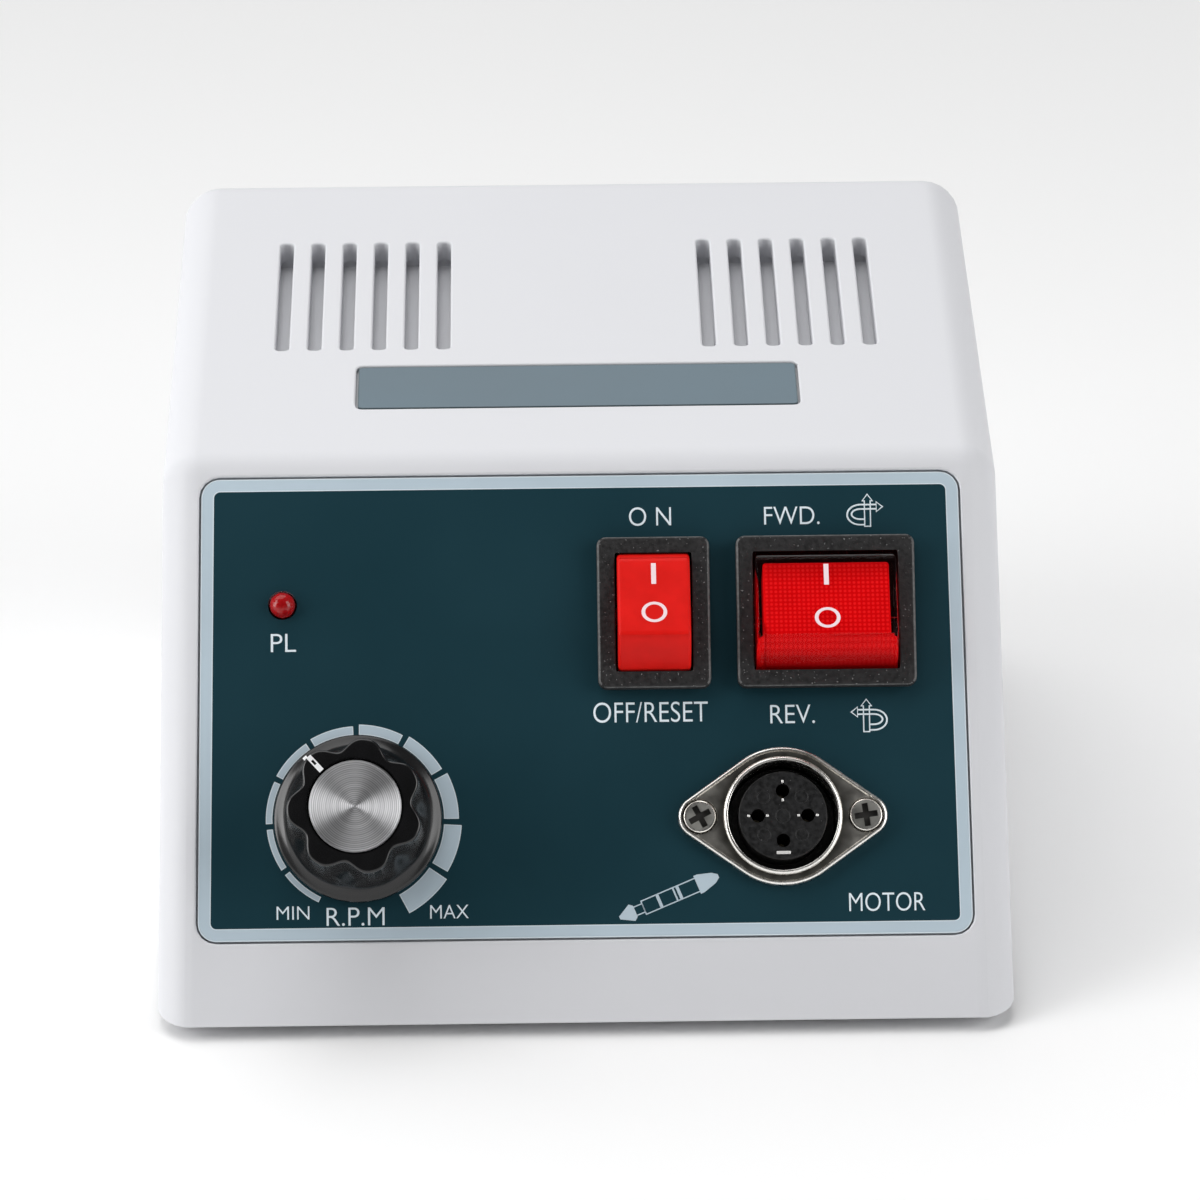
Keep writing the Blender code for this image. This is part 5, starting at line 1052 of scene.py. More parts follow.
# %% Narrow rocker
power_rocker = full_rocker("power_paddle", POWER_OPENING / 2 - ROCKER_GAP, (0.0,))
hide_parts("power_rocker")
lay_on(power_rocker, power_face, "power_rocker", "rocker_plastic", red_plastic)

# %% [markdown]
# The wide rocker is a clear lens over a red core. The lens has the same section as the narrow
# rocker. The core sits inside it, a millimetre back from the sides and the upper end, so that
# the dark well shows through the clear rim. The core carries a raster of dots. Its red glow is
# painted light, as no lamp sits inside, and its darker ends are painted shade.

# %% Clear lens and red core with a painted glow
DOT_PITCH = 0.62 * MM
NOSE_START = -7.0 * MM
NOSE_END = -8.4 * MM
TOP_START = 2.0 * MM
TOP_END = 5.0 * MM

clearness = {"Transmission Weight": 1.0, "IOR": 1.17}
look = {"tone": 0.03, "patch": 4, "gloss": 0.02, "grain": 0.5, "relief": 0.001}
lens_plastic = surface("clear_lens", (0.93, 0.55, 0.55), 0.06, extra=clearness, **look)


def red_core_painted_glow():
    """Red with a raster of dots, a painted glow, and painted shade that darkens its two ends."""
    # The emission is a painted glow: no lamp sits inside the core.
    extra = {"Emission Color": (1.0, 0.0, 0.004, 1), SPECULAR: 0.04}
    look = {"tone": 0.08, "patch": 5, "gloss": 0.05, "grain": 0.2, "relief": 0.004}
    material = surface("red_core_painted_glow", (0.5, 0.0006, 0.002), 0.6, extra=extra, **look)
    tree = material.node_tree
    raster = {"Vector": flat_place(tree, direction_face), "Scale": 1 / DOT_PITCH, "Randomness": 0.0}
    dots = node(tree, "TexVoronoi", raster)
    repaint(material, spread(tree, dots, 0.42, 0.2, 0.0, 0.45), (0.85, 0.03, 0.03))
    up = along_axis(tree, "Y", direction_face)
    towards_nose = spread(tree, up, NOSE_START, NOSE_END)
    towards_top = spread(tree, up, TOP_START, TOP_END, 0.0, 0.5)
    end_shade_share = calculate(tree, "MAXIMUM", towards_nose, towards_top)
    # Darker towards both ends: painted shade, and the painted glow fades there too.
    repaint(material, spread(tree, end_shade_share, 0.0, 1.0, 0.0, 0.8), (0.12, 0.0, 0.0))
    painted_glow_strength = spread(tree, end_shade_share, 0.0, 1.0, 0.2, 0.04)
    tree.links.new(painted_glow_strength, inputs_of(material)["Emission Strength"])
    return material


core_painted_glow_plastic = red_core_painted_glow()
print("finishes", lens_plastic.name, core_painted_glow_plastic.name)

# %% Wide rocker
CORE_BACK = 1.0 * MM
CORE_DOWN = 0.55 * MM
CORE_END = 4.95 * MM
CORE_RADIUS = ROCKER_RADIUS - 0.3 * MM
CORE_EASE = 0.4 * MM
SKIRT_BACK = 0.25 * MM
SKIRT_START = -5.7 * MM
COLUMN_X = 5 * MM
lens_half = DIRECTION_OPENING / 2 - ROCKER_GAP

lens = full_rocker("direction_lens", lens_half, (-COLUMN_X, COLUMN_X))
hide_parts("direction_rocker")
lay_on(lens, direction_face, "direction_rocker", "rocker_lens", lens_plastic)

core = rocker_stock("direction_core", 2 * (lens_half - CORE_BACK), CORE_RADIUS, ROCKER_FACE - CORE_DOWN)
slice_off(core, (0, CORE_END, 0), (0, 1, 0))
skirt = rocker_stock("core_skirt", 2 * (lens_half - SKIRT_BACK), CORE_RADIUS, ROCKER_FACE - CORE_DOWN)
slice_off(skirt, (0, SKIRT_START, 0), (0, 1, 0))
carve(core, skirt, "UNION")
ease(core, CORE_EASE, 4)
lay_on(core, direction_face, "direction_rocker", "rocker_lens", core_painted_glow_plastic)

# %% Marks on the rockers
MARK_THICKNESS = 0.04 * MM
MARK_BAR = 0.66 * MM
MARK_HEIGHT = 3.05 * MM
RING_WIDTH = 3.45 * MM
RING_HEIGHT = 2.98 * MM
RING_SIDE = 0.5 * MM
RING_TOP = 0.38 * MM
POWER_MARKS_Y = (3.3 * MM, -2.35 * MM)
DIRECTION_MARKS_Y = (2.9 * MM, -3.45 * MM)
mark_ink = satin_film("rocker_mark_ink", (0.93, 0.74, 0.77), 0.4, 0.25)


def oval(width, height, low, high, y):
    made = rod(0.5, low, high)
    made.data.transform(Matrix.Translation((0, y, 0)) @ Matrix.Diagonal((width, height, 1, 1)))
    return made


def rocker_marks(name, face, body, heights):
    """A plain bar and ring, the common signs for on and off."""
    bar_y, ring_y = heights
    low = ROCKER_FACE - MARK_THICKNESS / 2
    high = ROCKER_FACE + MARK_THICKNESS / 2
    bar = block(MARK_BAR, MARK_HEIGHT, low, high, 0, bar_y)
    ring = oval(RING_WIDTH, RING_HEIGHT, low, high, ring_y)
    carve(ring, oval(RING_WIDTH - 2 * RING_SIDE, RING_HEIGHT - 2 * RING_TOP, low - MM, high + MM, ring_y))
    carve(bar, ring, "UNION")
    bar.name = name
    lay_on(bar, face, body, "rocker_plastic", mark_ink)


rocker_marks("power_marks", power_face, "power_rocker", POWER_MARKS_Y)
rocker_marks("direction_marks", direction_face, "direction_rocker", DIRECTION_MARKS_Y)

# %% [markdown]
# ## The speed knob
# A gloss black moulding with seven flutes that run out in a low skirt. A lathe would make the
# skirt but not the flutes, so the knob grows as a stack of rings by extruding a circle, and
# then the flutes are pressed in: each point moves towards the axis by an amount that
# depends on its angle and its height.

# %% Gloss black
look = {"tone": 0.2, "patch": 3, "gloss": 0.03, "grain": 0.9, "relief": 0.0004}
knob_black = surface("gloss_black", (0.0055, 0.0055, 0.006), 0.2, extra={SPECULAR: 0.55}, **look)
print("finish", knob_black.name)

# %% Outline of the knob
KNOB_BASE = 0.3 * MM
KNOB_FOOT = 11.0 * MM
KNOB_HEIGHT = 14.6 * MM
KNOB_TOP = 9.1 * MM
KNOB_SIDES = 280
KNOB_RINGS = 30
KNOB_ROUND = 0.45 * MM
KNOB_SMOOTH = math.radians(48)
FLUTES = 7
FLUTE_DEPTH = 1.55 * MM
FLUTE_ANGLE = math.radians(3)
FLUTE_START = 0.14
FLUTE_RUN = 0.5
SKIRT = [(11.25, 0.25), (11.25, 1.2), (11.2, 1.36), (11.05, 1.47), (10.8, 1.58), (10.45, 1.75), (10.1, 1.96)]
SKIRT += [(9.82, 2.2), (9.62, 2.5), (9.48, 2.9), (9.4, 3.4), (9.36, 4.0)]


def knob_profile():
    """Pairs of radius and height: the skirt, the body that runs up to the top, and its round edge."""
    profile = [(radius * MM, height * MM) for radius, height in SKIRT]
    wide, low = profile[-1]
    last = KNOB_HEIGHT - KNOB_ROUND
    for step in range(1, KNOB_RINGS + 1):
        share = step / KNOB_RINGS
        profile.append((wide + (KNOB_TOP - wide) * share, low + (last - low) * share))
    return profile + arc_points(KNOB_ROUND, KNOB_ROUND, KNOB_TOP - KNOB_ROUND, last, 0, 90, 5)[1:]


def press_flutes(piece):
    for vertex in piece.data.vertices:
        height = vertex.co.z / KNOB_HEIGHT
        along = min(max((height - FLUTE_START) / FLUTE_RUN, 0.0), 1.0)
        depth_share = 1 - (1 - along) ** 3 * (1 + 3 * along)
        angle = math.atan2(vertex.co.y, vertex.co.x)
        wave = (1 + math.cos(FLUTES * (angle - FLUTE_ANGLE))) / 2
        radius = math.hypot(vertex.co.x, vertex.co.y)
        moved = radius - FLUTE_DEPTH * depth_share * wave**1.5
        vertex.co.x *= moved / radius
        vertex.co.y *= moved / radius


# %% Knob
SHAFT_BORE = 3.3 * MM
SHAFT_BORE_TOP = 11.5 * MM
NUT_WELL = 6.6 * MM
NUT_WELL_TOP = 3.0 * MM
CAP_WELL = 6.4 * MM
CAP_WELL_DEPTH = 1.1 * MM
SET_HOLE = 1.7 * MM
SET_HOLE_END = 12 * MM
SET_HOLE_HEIGHT = 7.5 * MM
SET_HOLE_ANGLE = math.radians(82.5)

knob = added(
    bpy.ops.mesh.primitive_circle_add, "fluted_knob", vertices=KNOB_SIDES, radius=KNOB_FOOT, fill_type="NGON"
)
open_mesh(knob)
radius_now, height_now = KNOB_FOOT, 0.0
for radius, height in knob_profile():
    raise_by(height - height_now)
    bpy.ops.transform.resize(value=(radius / radius_now, radius / radius_now, 1))
    radius_now, height_now = radius, height
close_outward()
press_flutes(knob)
carve(knob, rod(NUT_WELL, -MM, NUT_WELL_TOP))
carve(knob, rod(SHAFT_BORE, -MM, SHAFT_BORE_TOP))
carve(knob, rod(CAP_WELL, KNOB_HEIGHT - CAP_WELL_DEPTH, KNOB_HEIGHT + MM))
set_hole = rod(SET_HOLE, SHAFT_BORE, SET_HOLE_END, sides=PIN_SIDES)
set_turn = Matrix.Rotation(SET_HOLE_ANGLE, 4, "Z") @ Matrix.Rotation(math.pi / 2, 4, "Y")
set_hole.data.transform(Matrix.Translation((0, 0, SET_HOLE_HEIGHT)) @ set_turn)
carve(knob, set_hole)
select_only(knob)
bpy.ops.object.shade_smooth_by_angle(angle=KNOB_SMOOTH)
knob_face = panel_face @ Matrix.Translation((speed_spot.x, speed_spot.y, KNOB_BASE))
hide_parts("speed_knob")
lay_on(knob, knob_face, "speed_knob", "knob_plastic", knob_black)

# %% [markdown]
# The cap is a disc of aluminium, spun on a lathe. Its turning marks are rings about its middle,
# which pull every reflection out along the radius, so that each side lamp becomes a bright wedge.
# So the shader is anisotropic, and its direction is worked out at each point: away from the axis.

# %% Spun aluminium
GROOVE_PITCH = 0.27 * MM
RING_PITCH = 0.5 * MM


def spun_metal(name, face):
    """Metal with turning marks, and reflections drawn out along the radius."""
    look = {"tone": 0.04, "patch": 2, "gloss": 0.03, "extra": {"Anisotropic": 0.97}}
    material = surface(name, (0.93, 0.93, 0.945), 0.46, 1.0, **look)
    tree = material.node_tree
    outward = flat_place(tree, face)
    turned = node(tree, "Mapping", {"Vector": outward, "Rotation": face.to_euler()}, vector_type="VECTOR")
    frames = {"vector_type": "VECTOR", "convert_from": "OBJECT", "convert_to": "WORLD"}
    tangent = node(tree, "VectorTransform", {"Vector": turned}, **frames)
    tree.links.new(tangent, inputs_of(material)["Tangent"])
    radius = node(tree, "VectorMath", {0: outward}, out="Value", operation="LENGTH")
    inputs = {"W": radius, "Scale": 1 / RING_PITCH, "Detail": 2.0}
    rings = node(tree, "TexNoise", inputs, noise_dimensions="1D")
    repaint(material, spread(tree, rings, 0.4, 0.6, 0.0, 0.3), (0.4, 0.4, 0.42))
    grooves = calculate(tree, "SINE", calculate(tree, "MULTIPLY", radius, math.tau / GROOVE_PITCH))
    repaint(material, spread(tree, grooves, -1.0, 1.0, 0.0, 0.55), (0.27, 0.27, 0.285))
    return material


cap_face = panel_face @ Matrix.Translation((speed_spot.x, speed_spot.y, KNOB_BASE + KNOB_HEIGHT))
cap_metal = spun_metal("spun_aluminium", cap_face)
print("finish", cap_metal.name)

# %% Knob cap
CAP_RADIUS = 6.1 * MM
CAP_SIDES = 128


def turned_piece(name, profile, sides=ROUND_SIDES):
    """Spins a profile of radius and height once round the Z axis."""
    made = added(bpy.ops.mesh.primitive_circle_add, name, vertices=len(profile), radius=1)
    for vertex, (radius, height) in zip(made.data.vertices, profile):
        vertex.co = (radius, 0, height)
    open_mesh(made)
    bpy.ops.mesh.spin(steps=sides, angle=math.tau, center=(0, 0, 0), axis=(0, 0, 1))
    bpy.ops.mesh.select_all(action="SELECT")
    bpy.ops.mesh.remove_doubles(threshold=MERGE_DISTANCE)
    bpy.ops.mesh.dissolve_degenerate(threshold=MERGE_DISTANCE / 4)
    close_outward()
    return made


cap_profile = [
    (0, -0.8 * MM),
    (CAP_RADIUS, -0.8 * MM),
    (CAP_RADIUS, -0.14 * MM),
    (CAP_RADIUS - 0.05 * MM, -0.05 * MM),
    (CAP_RADIUS - 0.15 * MM, 0),
    (CAP_RADIUS - 0.28 * MM, -0.02 * MM),
    (CAP_RADIUS - 0.36 * MM, -0.07 * MM),
    (0, -0.07 * MM),
]
cap = turned_piece("spun_cap", cap_profile, CAP_SIDES)
smooth(cap)
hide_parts("knob_cap")
lay_on(cap, cap_face, "speed_knob", "spun_aluminium", cap_metal)

# %% Pointer on the knob
POINTER_ANGLE = math.radians(132.6)
POINTER_LENGTH = 2.6 * MM
POINTER_WIDTH = 0.72 * MM
POINTER_REACH = 7.73 * MM
POINTER_LOW = -0.02 * MM
POINTER_HIGH = 0.03 * MM
NOTCH_LENGTH = 0.75 * MM
NOTCH_WIDTH = 0.34 * MM
NOTCH_REACH = 7.95 * MM

pointer_ink = satin_film("pointer_ink", (0.86, 0.87, 0.88), 0.35, 0.4)
pointer = block(POINTER_LENGTH, POINTER_WIDTH, POINTER_LOW, POINTER_HIGH, POINTER_REACH)
carve(pointer, block(NOTCH_LENGTH, NOTCH_WIDTH, -MM, MM, NOTCH_REACH))
pointer.name = "knob_pointer"
pointer_face = cap_face @ Matrix.Rotation(POINTER_ANGLE, 4, "Z")
lay_on(pointer, pointer_face, "speed_knob", "knob_plastic", pointer_ink)

# %% Mark on the knob's skirt
SKIRT_MARK_LENGTH = 0.85 * MM
SKIRT_MARK_WIDTH = 0.6 * MM
SKIRT_MARK_LOW = -0.06 * MM
SKIRT_MARK_HIGH = 0.05 * MM
SKIRT_MARK_REACH = 10.55 * MM
SKIRT_MARK_LEVEL = 1.71 * MM
SKIRT_SLOPE = math.radians(27)
SKIRT_MARK_LAG = math.radians(2)

skirt_mark = block(SKIRT_MARK_LENGTH, SKIRT_MARK_WIDTH, SKIRT_MARK_LOW, SKIRT_MARK_HIGH)
skirt_mark.name = "skirt_mark"
mark_seat = Matrix.Translation((SKIRT_MARK_REACH, 0, SKIRT_MARK_LEVEL))
mark_place = mark_seat @ Matrix.Rotation(SKIRT_SLOPE, 4, "Y")
mark_turn = Matrix.Rotation(POINTER_ANGLE - SKIRT_MARK_LAG, 4, "Z")
lay_on(skirt_mark, knob_face @ mark_turn @ mark_place, "speed_knob", "knob_plastic", pointer_ink)

# %% [markdown]
# ## The handpiece socket
# A pressed nickel flange with a raised rim carries the round collar. Its outline is what a
# rubber band would make round three discs, so it is drawn just so: three circles and a convex
# hull. Its outer edge is rounded, an inset sinks the brushed field, and the collar is turned with a
# round lip. The round edges are what shines: they mirror the lamps and the floor all the way round.

# %% Nickel
def nickel(name, color, roughness, grain, relief, tone=0.12):
    """Plated metal, whose grain and relief tell a polished face from a brushed one."""
    return surface(name, color, roughness, 1.0, tone=tone, patch=1.6, gloss=0.06, grain=grain, relief=relief)


bright_nickel = nickel("bright_nickel", (0.95, 0.925, 0.88), 0.27, 0.4, 0.0006, 0.03)
print("finish", bright_nickel.name)

# %% Brushed field of the flange
COLLAR_SHADE_FROM = 10.4 * MM
COLLAR_SHADE_TO = 8.0 * MM


def brushed_field(face):
    """Dull nickel, with painted shade that darkens the field towards the collar."""
    material = nickel("satin_nickel", (0.6, 0.58, 0.535), 0.36, 0.16, 0.02)
    tree = material.node_tree
    radius = node(tree, "VectorMath", {0: flat_place(tree, face)}, out="Value", operation="LENGTH")
    # The dark colour near the collar is painted shade, where the collar shades the corner of the field.
    repaint(material, spread(tree, radius, COLLAR_SHADE_FROM, COLLAR_SHADE_TO, 0.0, 0.9), (0.07, 0.066, 0.058))
    return material


# %% Socket flange
FLANGE_HALF = 9.35 * MM
FLANGE_END = 2.9 * MM
FLANGE_THICKNESS = 1.2 * MM
COLLAR_INNER = 7.4 * MM
COLLAR_WALL = 0.6 * MM
COLLAR_RISE = 0.7 * MM
COLLAR_ROUND = 0.52 * MM
BARREL_DEPTH = 11 * MM
BARREL_STEP = 0.2 * MM
RIM_ROUND = 0.45 * MM
FIELD_EDGE = 0.04 * MM
FIELD_SLOPE = 0.16 * MM
FIELD_SINK = 0.3 * MM
SOCKET_SEAT = 0.1 * MM
LEVEL_UP = 0.999


def is_top_rim(edge):
    is_high = min(vertex.co.z for vertex in edge.verts) > FLANGE_THICKNESS / 2
    return is_high and edge.calc_face_angle(0) > RIM_ANGLE


flange_discs = [(0, 0, FLANGE_HALF), (-SCREW_OFFSET, 0, FLANGE_END), (SCREW_OFFSET, 0, FLANGE_END)]
flange = hull_of_discs("socket_flange", flange_discs, 0, FLANGE_THICKNESS)
open_mesh(flange)
pick(flange, "EDGE", is_top_rim)
bpy.ops.mesh.bevel(offset=RIM_ROUND, segments=6, clamp_overlap=False, affect="EDGES")
pick(flange, "FACE", lambda face: face.normal.z > LEVEL_UP)
bpy.ops.mesh.inset(thickness=FIELD_EDGE, use_even_offset=True)
bpy.ops.mesh.inset(thickness=FIELD_SLOPE, depth=-FIELD_SINK, use_even_offset=True)
close_mesh()
print("flange faces", len(flange.data.polygons))

# %% Socket collar and screw seats
SEAT_HOLE = 1.55 * MM
SEAT_RADIUS = 2.4 * MM
SEAT_DEPTH = 0.8 * MM
COLLAR_SIDES = 128
FIELD_UP = 0.98
FIELD_BAND = 0.08 * MM

field_level = FLANGE_THICKNESS - FIELD_SINK
collar_top = FLANGE_THICKNESS + COLLAR_RISE
collar_outer = COLLAR_INNER + COLLAR_WALL
collar_profile = [
    (COLLAR_INNER, -BARREL_DEPTH),
    (collar_outer - BARREL_STEP, -BARREL_DEPTH),
    (collar_outer - BARREL_STEP, -BARREL_STEP),
    (collar_outer, field_level - 0.1 * MM),
]
lip = (collar_outer - COLLAR_ROUND, collar_top - COLLAR_ROUND)
collar_profile += arc_points(COLLAR_ROUND, COLLAR_ROUND, *lip, 0, 90, 8)
collar_profile += [(COLLAR_INNER + 0.04 * MM, collar_top - 0.02 * MM), (COLLAR_INNER, collar_top - 0.1 * MM)]
collar = turned_piece("socket_collar", collar_profile, COLLAR_SIDES)
carve(flange, rod(COLLAR_INNER + 0.3 * MM, -BARREL_DEPTH - MM, collar_top + MM))
carve(flange, collar, "UNION")
seat_profile = [
    (0, -MM),
    (SEAT_HOLE, -MM),
    (SEAT_HOLE, field_level - SEAT_DEPTH),
    (SEAT_RADIUS, field_level),
    (SEAT_RADIUS, 2 * MM),
    (0, 2 * MM),
]
for side in (-1, 1):
    seat = turned_piece("screw_seat", seat_profile, HOLE_SIDES)
    seat.data.transform(Matrix.Translation((side * SCREW_OFFSET, 0, 0)))
    carve(flange, seat)
smooth(flange)
for polygon in flange.data.polygons:
    in_field = polygon.normal.z > FIELD_UP and abs(polygon.center.z - field_level) < FIELD_BAND
    polygon.material_index = 1 if in_field else 0
socket_face = panel_face @ Matrix.Translation((SOCKET_X, SOCKET_Y, SOCKET_SEAT))
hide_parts("socket_shell")
lay_on(flange, socket_face, "housing", "nickel", bright_nickel, brushed_field(socket_face))

# %% [markdown]
# The core of the socket is black plastic with four contact holes. The mould leaves faint rings
# between the holes and one in the middle, and a bright key stands at the bottom of the face.

# %% Socket core
INSERT_RADIUS = 5.95 * MM
INSERT_LOW = -12.9 * MM
INSERT_TOP = 1.3 * MM
WELL_FLOOR = INSERT_TOP - 6.5 * MM
FOOT_RADIUS = 7.95 * MM
FOOT_TOP = -11.3 * MM
BARREL_RADIUS = 7.1 * MM
TOP_EDGE = 0.15 * MM
CONTACT_CIRCLE = 3.35 * MM
HOLE_RADIUS = 0.92 * MM
CONTACT_SIDES = 40
SLIT_WIDTH = 0.36 * MM
SLIT_REACH = 1.42 * MM
SLIT_DEPTH = 1.5 * MM
QUARTER = math.pi / 2
KEYED_QUARTER = 3

socket_black = grained_black("socket_black", (0.012, 0.012, 0.0125), 0.45, 0.86)
core_profile = [
    (0, INSERT_LOW),
    (FOOT_RADIUS, INSERT_LOW),
    (FOOT_RADIUS, FOOT_TOP),
    (BARREL_RADIUS, FOOT_TOP),
    (BARREL_RADIUS, WELL_FLOOR),
    (INSERT_RADIUS, WELL_FLOOR),
    (INSERT_RADIUS, INSERT_TOP - TOP_EDGE),
    (INSERT_RADIUS - TOP_EDGE, INSERT_TOP),
    (0, INSERT_TOP),
]
core_piece = turned_piece("socket_core", core_profile)
for quarter in range(4):
    angle = QUARTER * quarter
    x, y = CONTACT_CIRCLE * math.cos(angle), CONTACT_CIRCLE * math.sin(angle)
    carve(core_piece, rod(HOLE_RADIUS, INSERT_LOW - MM, INSERT_TOP + MM, x, y, CONTACT_SIDES))
    if quarter == KEYED_QUARTER:
        continue
    slit = block(2 * SLIT_REACH, SLIT_WIDTH, INSERT_TOP - SLIT_DEPTH, INSERT_TOP + MM, CONTACT_CIRCLE)
    slit.data.transform(Matrix.Rotation(angle, 4, "Z"))
    carve(core_piece, slit)

# %% Mould rings of the core
MOULD_CIRCLE = 3.6 * MM
MOULD_RADIUS = 0.85 * MM
MIDDLE_RADIUS = 0.95 * MM
MOULD_THICKNESS = 0.12 * MM
MOULD_LEVEL = INSERT_TOP + 0.05 * MM


def mould_ring(radius, x, y):
    sizes = {"major_radius": radius, "minor_radius": MOULD_THICKNESS}
    steps = {"major_segments": 36, "minor_segments": 8}
    return added(bpy.ops.mesh.primitive_torus_add, location=(x, y, MOULD_LEVEL), **sizes, **steps)


for quarter in range(4):
    angle = QUARTER * (quarter + 0.5)
    x, y = MOULD_CIRCLE * math.cos(angle), MOULD_CIRCLE * math.sin(angle)
    carve(core_piece, mould_ring(MOULD_RADIUS, x, y))
carve(core_piece, mould_ring(MIDDLE_RADIUS, 0, 0))
smooth(core_piece)
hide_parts("socket_insert")
lay_on(core_piece, socket_face, "housing", "fitting_plastic", socket_black)

# %% Metals of the contacts
brass_finish = surface(
    "tinned_brass", (0.72, 0.60, 0.38), 0.28, 1.0, tone=0.12, patch=2, gloss=0.08, relief=0.004
)
# The leaves and key are tinned, and their part-diffuse near-white is partly their own colour and partly a
# painted glint.
tin_with_painted_glint = surface("tin_with_painted_glint", (0.95, 0.94, 0.92), 0.3, 0.35, patch=1, gloss=0.05, relief=0.001)
print("metals", brass_finish.name, tin_with_painted_glint.name)

# %% Socket contacts
CONTACT_TOP = INSERT_TOP - 9.5 * MM
LEAF_LENGTH = 0.4 * MM
LEAF_WIDTH = 0.32 * MM
LEAF_LOW = INSERT_TOP - 1.3 * MM
LEAF_HIGH = INSERT_TOP + 0.05 * MM
LEAF_REACH = 1.26 * MM
LEAF_EASE = 0.1 * MM
KEY_LENGTH = 1.9 * MM
KEY_WIDTH = 0.42 * MM
KEY_LOW = INSERT_TOP - 0.2 * MM
KEY_HIGH = INSERT_TOP + 0.12 * MM
KEY_Y = -5.0 * MM
KEY_EASE = 0.08 * MM

for quarter in range(4):
    name = f"socket_contact_{quarter + 1}"
    contact = cleaned_copy(name, name.replace("contact", "fork"))
    contact.data.transform(socket_face.inverted())
    slice_off(contact, (0, 0, CONTACT_TOP), (0, 0, 1))
    lay_on(contact, socket_face, "housing", "contact_brass", brass_finish)
    if quarter == KEYED_QUARTER:
        continue
    for side, side_name in ((-1, "inner"), (1, "outer")):
        leaf = block(LEAF_LENGTH, LEAF_WIDTH, LEAF_LOW, LEAF_HIGH, CONTACT_CIRCLE + side * LEAF_REACH)
        ease(leaf, LEAF_EASE, 3)
        leaf.data.transform(Matrix.Rotation(QUARTER * quarter, 4, "Z"))
        leaf.name = f"{side_name}_leaf_{quarter + 1}"
        lay_on(leaf, socket_face, "housing", "contact_brass", tin_with_painted_glint)

key = block(KEY_LENGTH, KEY_WIDTH, KEY_LOW, KEY_HIGH, 0, KEY_Y)
ease(key, KEY_EASE, 2)
key.name = "socket_key"
lay_on(key, socket_face, "housing", "nickel", tin_with_painted_glint)

# %% Socket screws
CROSS_ARM = 3.1 * MM
CROSS_WIDTH = 0.8 * MM
CROSS_DEPTH = 0.65 * MM
SCREW_TURNS = (math.radians(28), math.radians(8))
HEAD_RADIUS = 2.25 * MM
HEAD_TOP = 1.2 * MM
HEAD_CUT = HEAD_TOP - 0.7 * MM
HEAD_SIDES = 64
HEAD_HIGHLIGHT_BAND = 0.42 * MM
HEAD_HIGHLIGHT_DEPTH = 0.3 * MM

screw_metal = nickel("screw_nickel", (0.62, 0.61, 0.57), 0.38, 0.25, 0.012)
# The recess metal is far darker than the head: painted shade in the cross recess.
recess_painted_shade = nickel("screw_recess", (0.12, 0.115, 0.11), 0.45, 0.25, 0.012)
crown_profile = [
    (0, HEAD_TOP - 0.9 * MM),
    (HEAD_RADIUS - 0.7 * MM, HEAD_TOP - 0.9 * MM),
    (HEAD_RADIUS - 0.1 * MM, HEAD_TOP - 0.25 * MM),
    (HEAD_RADIUS - 0.13 * MM, HEAD_TOP - 0.08 * MM),
    (HEAD_RADIUS - 0.22 * MM, HEAD_TOP + 0.01 * MM),
    (HEAD_RADIUS - 0.36 * MM, HEAD_TOP + 0.04 * MM),
    (0, HEAD_TOP + 0.1 * MM),
]


def cross_arm(angle):
    """One arm of the cross, whose faces carry the recess's painted shade."""
    arm = block(CROSS_ARM, CROSS_WIDTH, HEAD_TOP - CROSS_DEPTH, HEAD_TOP + MM)
    give_finishes(arm, (screw_metal, recess_painted_shade))
    for polygon in arm.data.polygons:
        polygon.material_index = 1
    arm.data.transform(Matrix.Rotation(angle, 4, "Z"))
    return arm


for number, (side, turn_of_screw) in enumerate(zip((-1, 1), SCREW_TURNS), 1):
    name = f"socket_screw_{number}"
    screw = cleaned_copy(name, name.replace("screw", "screw_head"))
    give_finishes(screw, (screw_metal, recess_painted_shade, bright_nickel))
    screw.data.transform(Matrix.Translation((-side * SCREW_OFFSET, 0, 0)) @ socket_face.inverted())
    slice_off(screw, (0, 0, HEAD_CUT), (0, 0, 1))
    carve(screw, turned_piece("screw_crown", crown_profile, HEAD_SIDES), "UNION")
    carve(screw, cross_arm(turn_of_screw))
    carve(screw, cross_arm(turn_of_screw + QUARTER))
    smooth(screw)
    # The outer rim of each head gets the brighter, glossier nickel: a painted highlight.
    for polygon in screw.data.polygons:
        reach = math.hypot(polygon.center.x, polygon.center.y)
        if polygon.center.z > HEAD_TOP - HEAD_HIGHLIGHT_DEPTH and reach > HEAD_RADIUS - HEAD_HIGHLIGHT_BAND:
            polygon.material_index = 2
    screw_face = socket_face @ Matrix.Translation((side * SCREW_OFFSET, 0, 0))
    lay_on(screw, screw_face, "housing", "nickel")

# %% [markdown]
# ## The pilot lamp
# A small red dome. It is turned from a half circle, and its plastic is tinted and half clear, so
# it is brightest where it is thin.

# %% Pilot lamp
LAMP_RADIUS = 1.7 * MM
LAMP_RISE = 1.8 * MM
LAMP_FLANGE = 2.2 * MM
LAMP_LOW = -4.3 * MM
LAMP_STEP = -3.3 * MM
LAMP_SIDES = 64

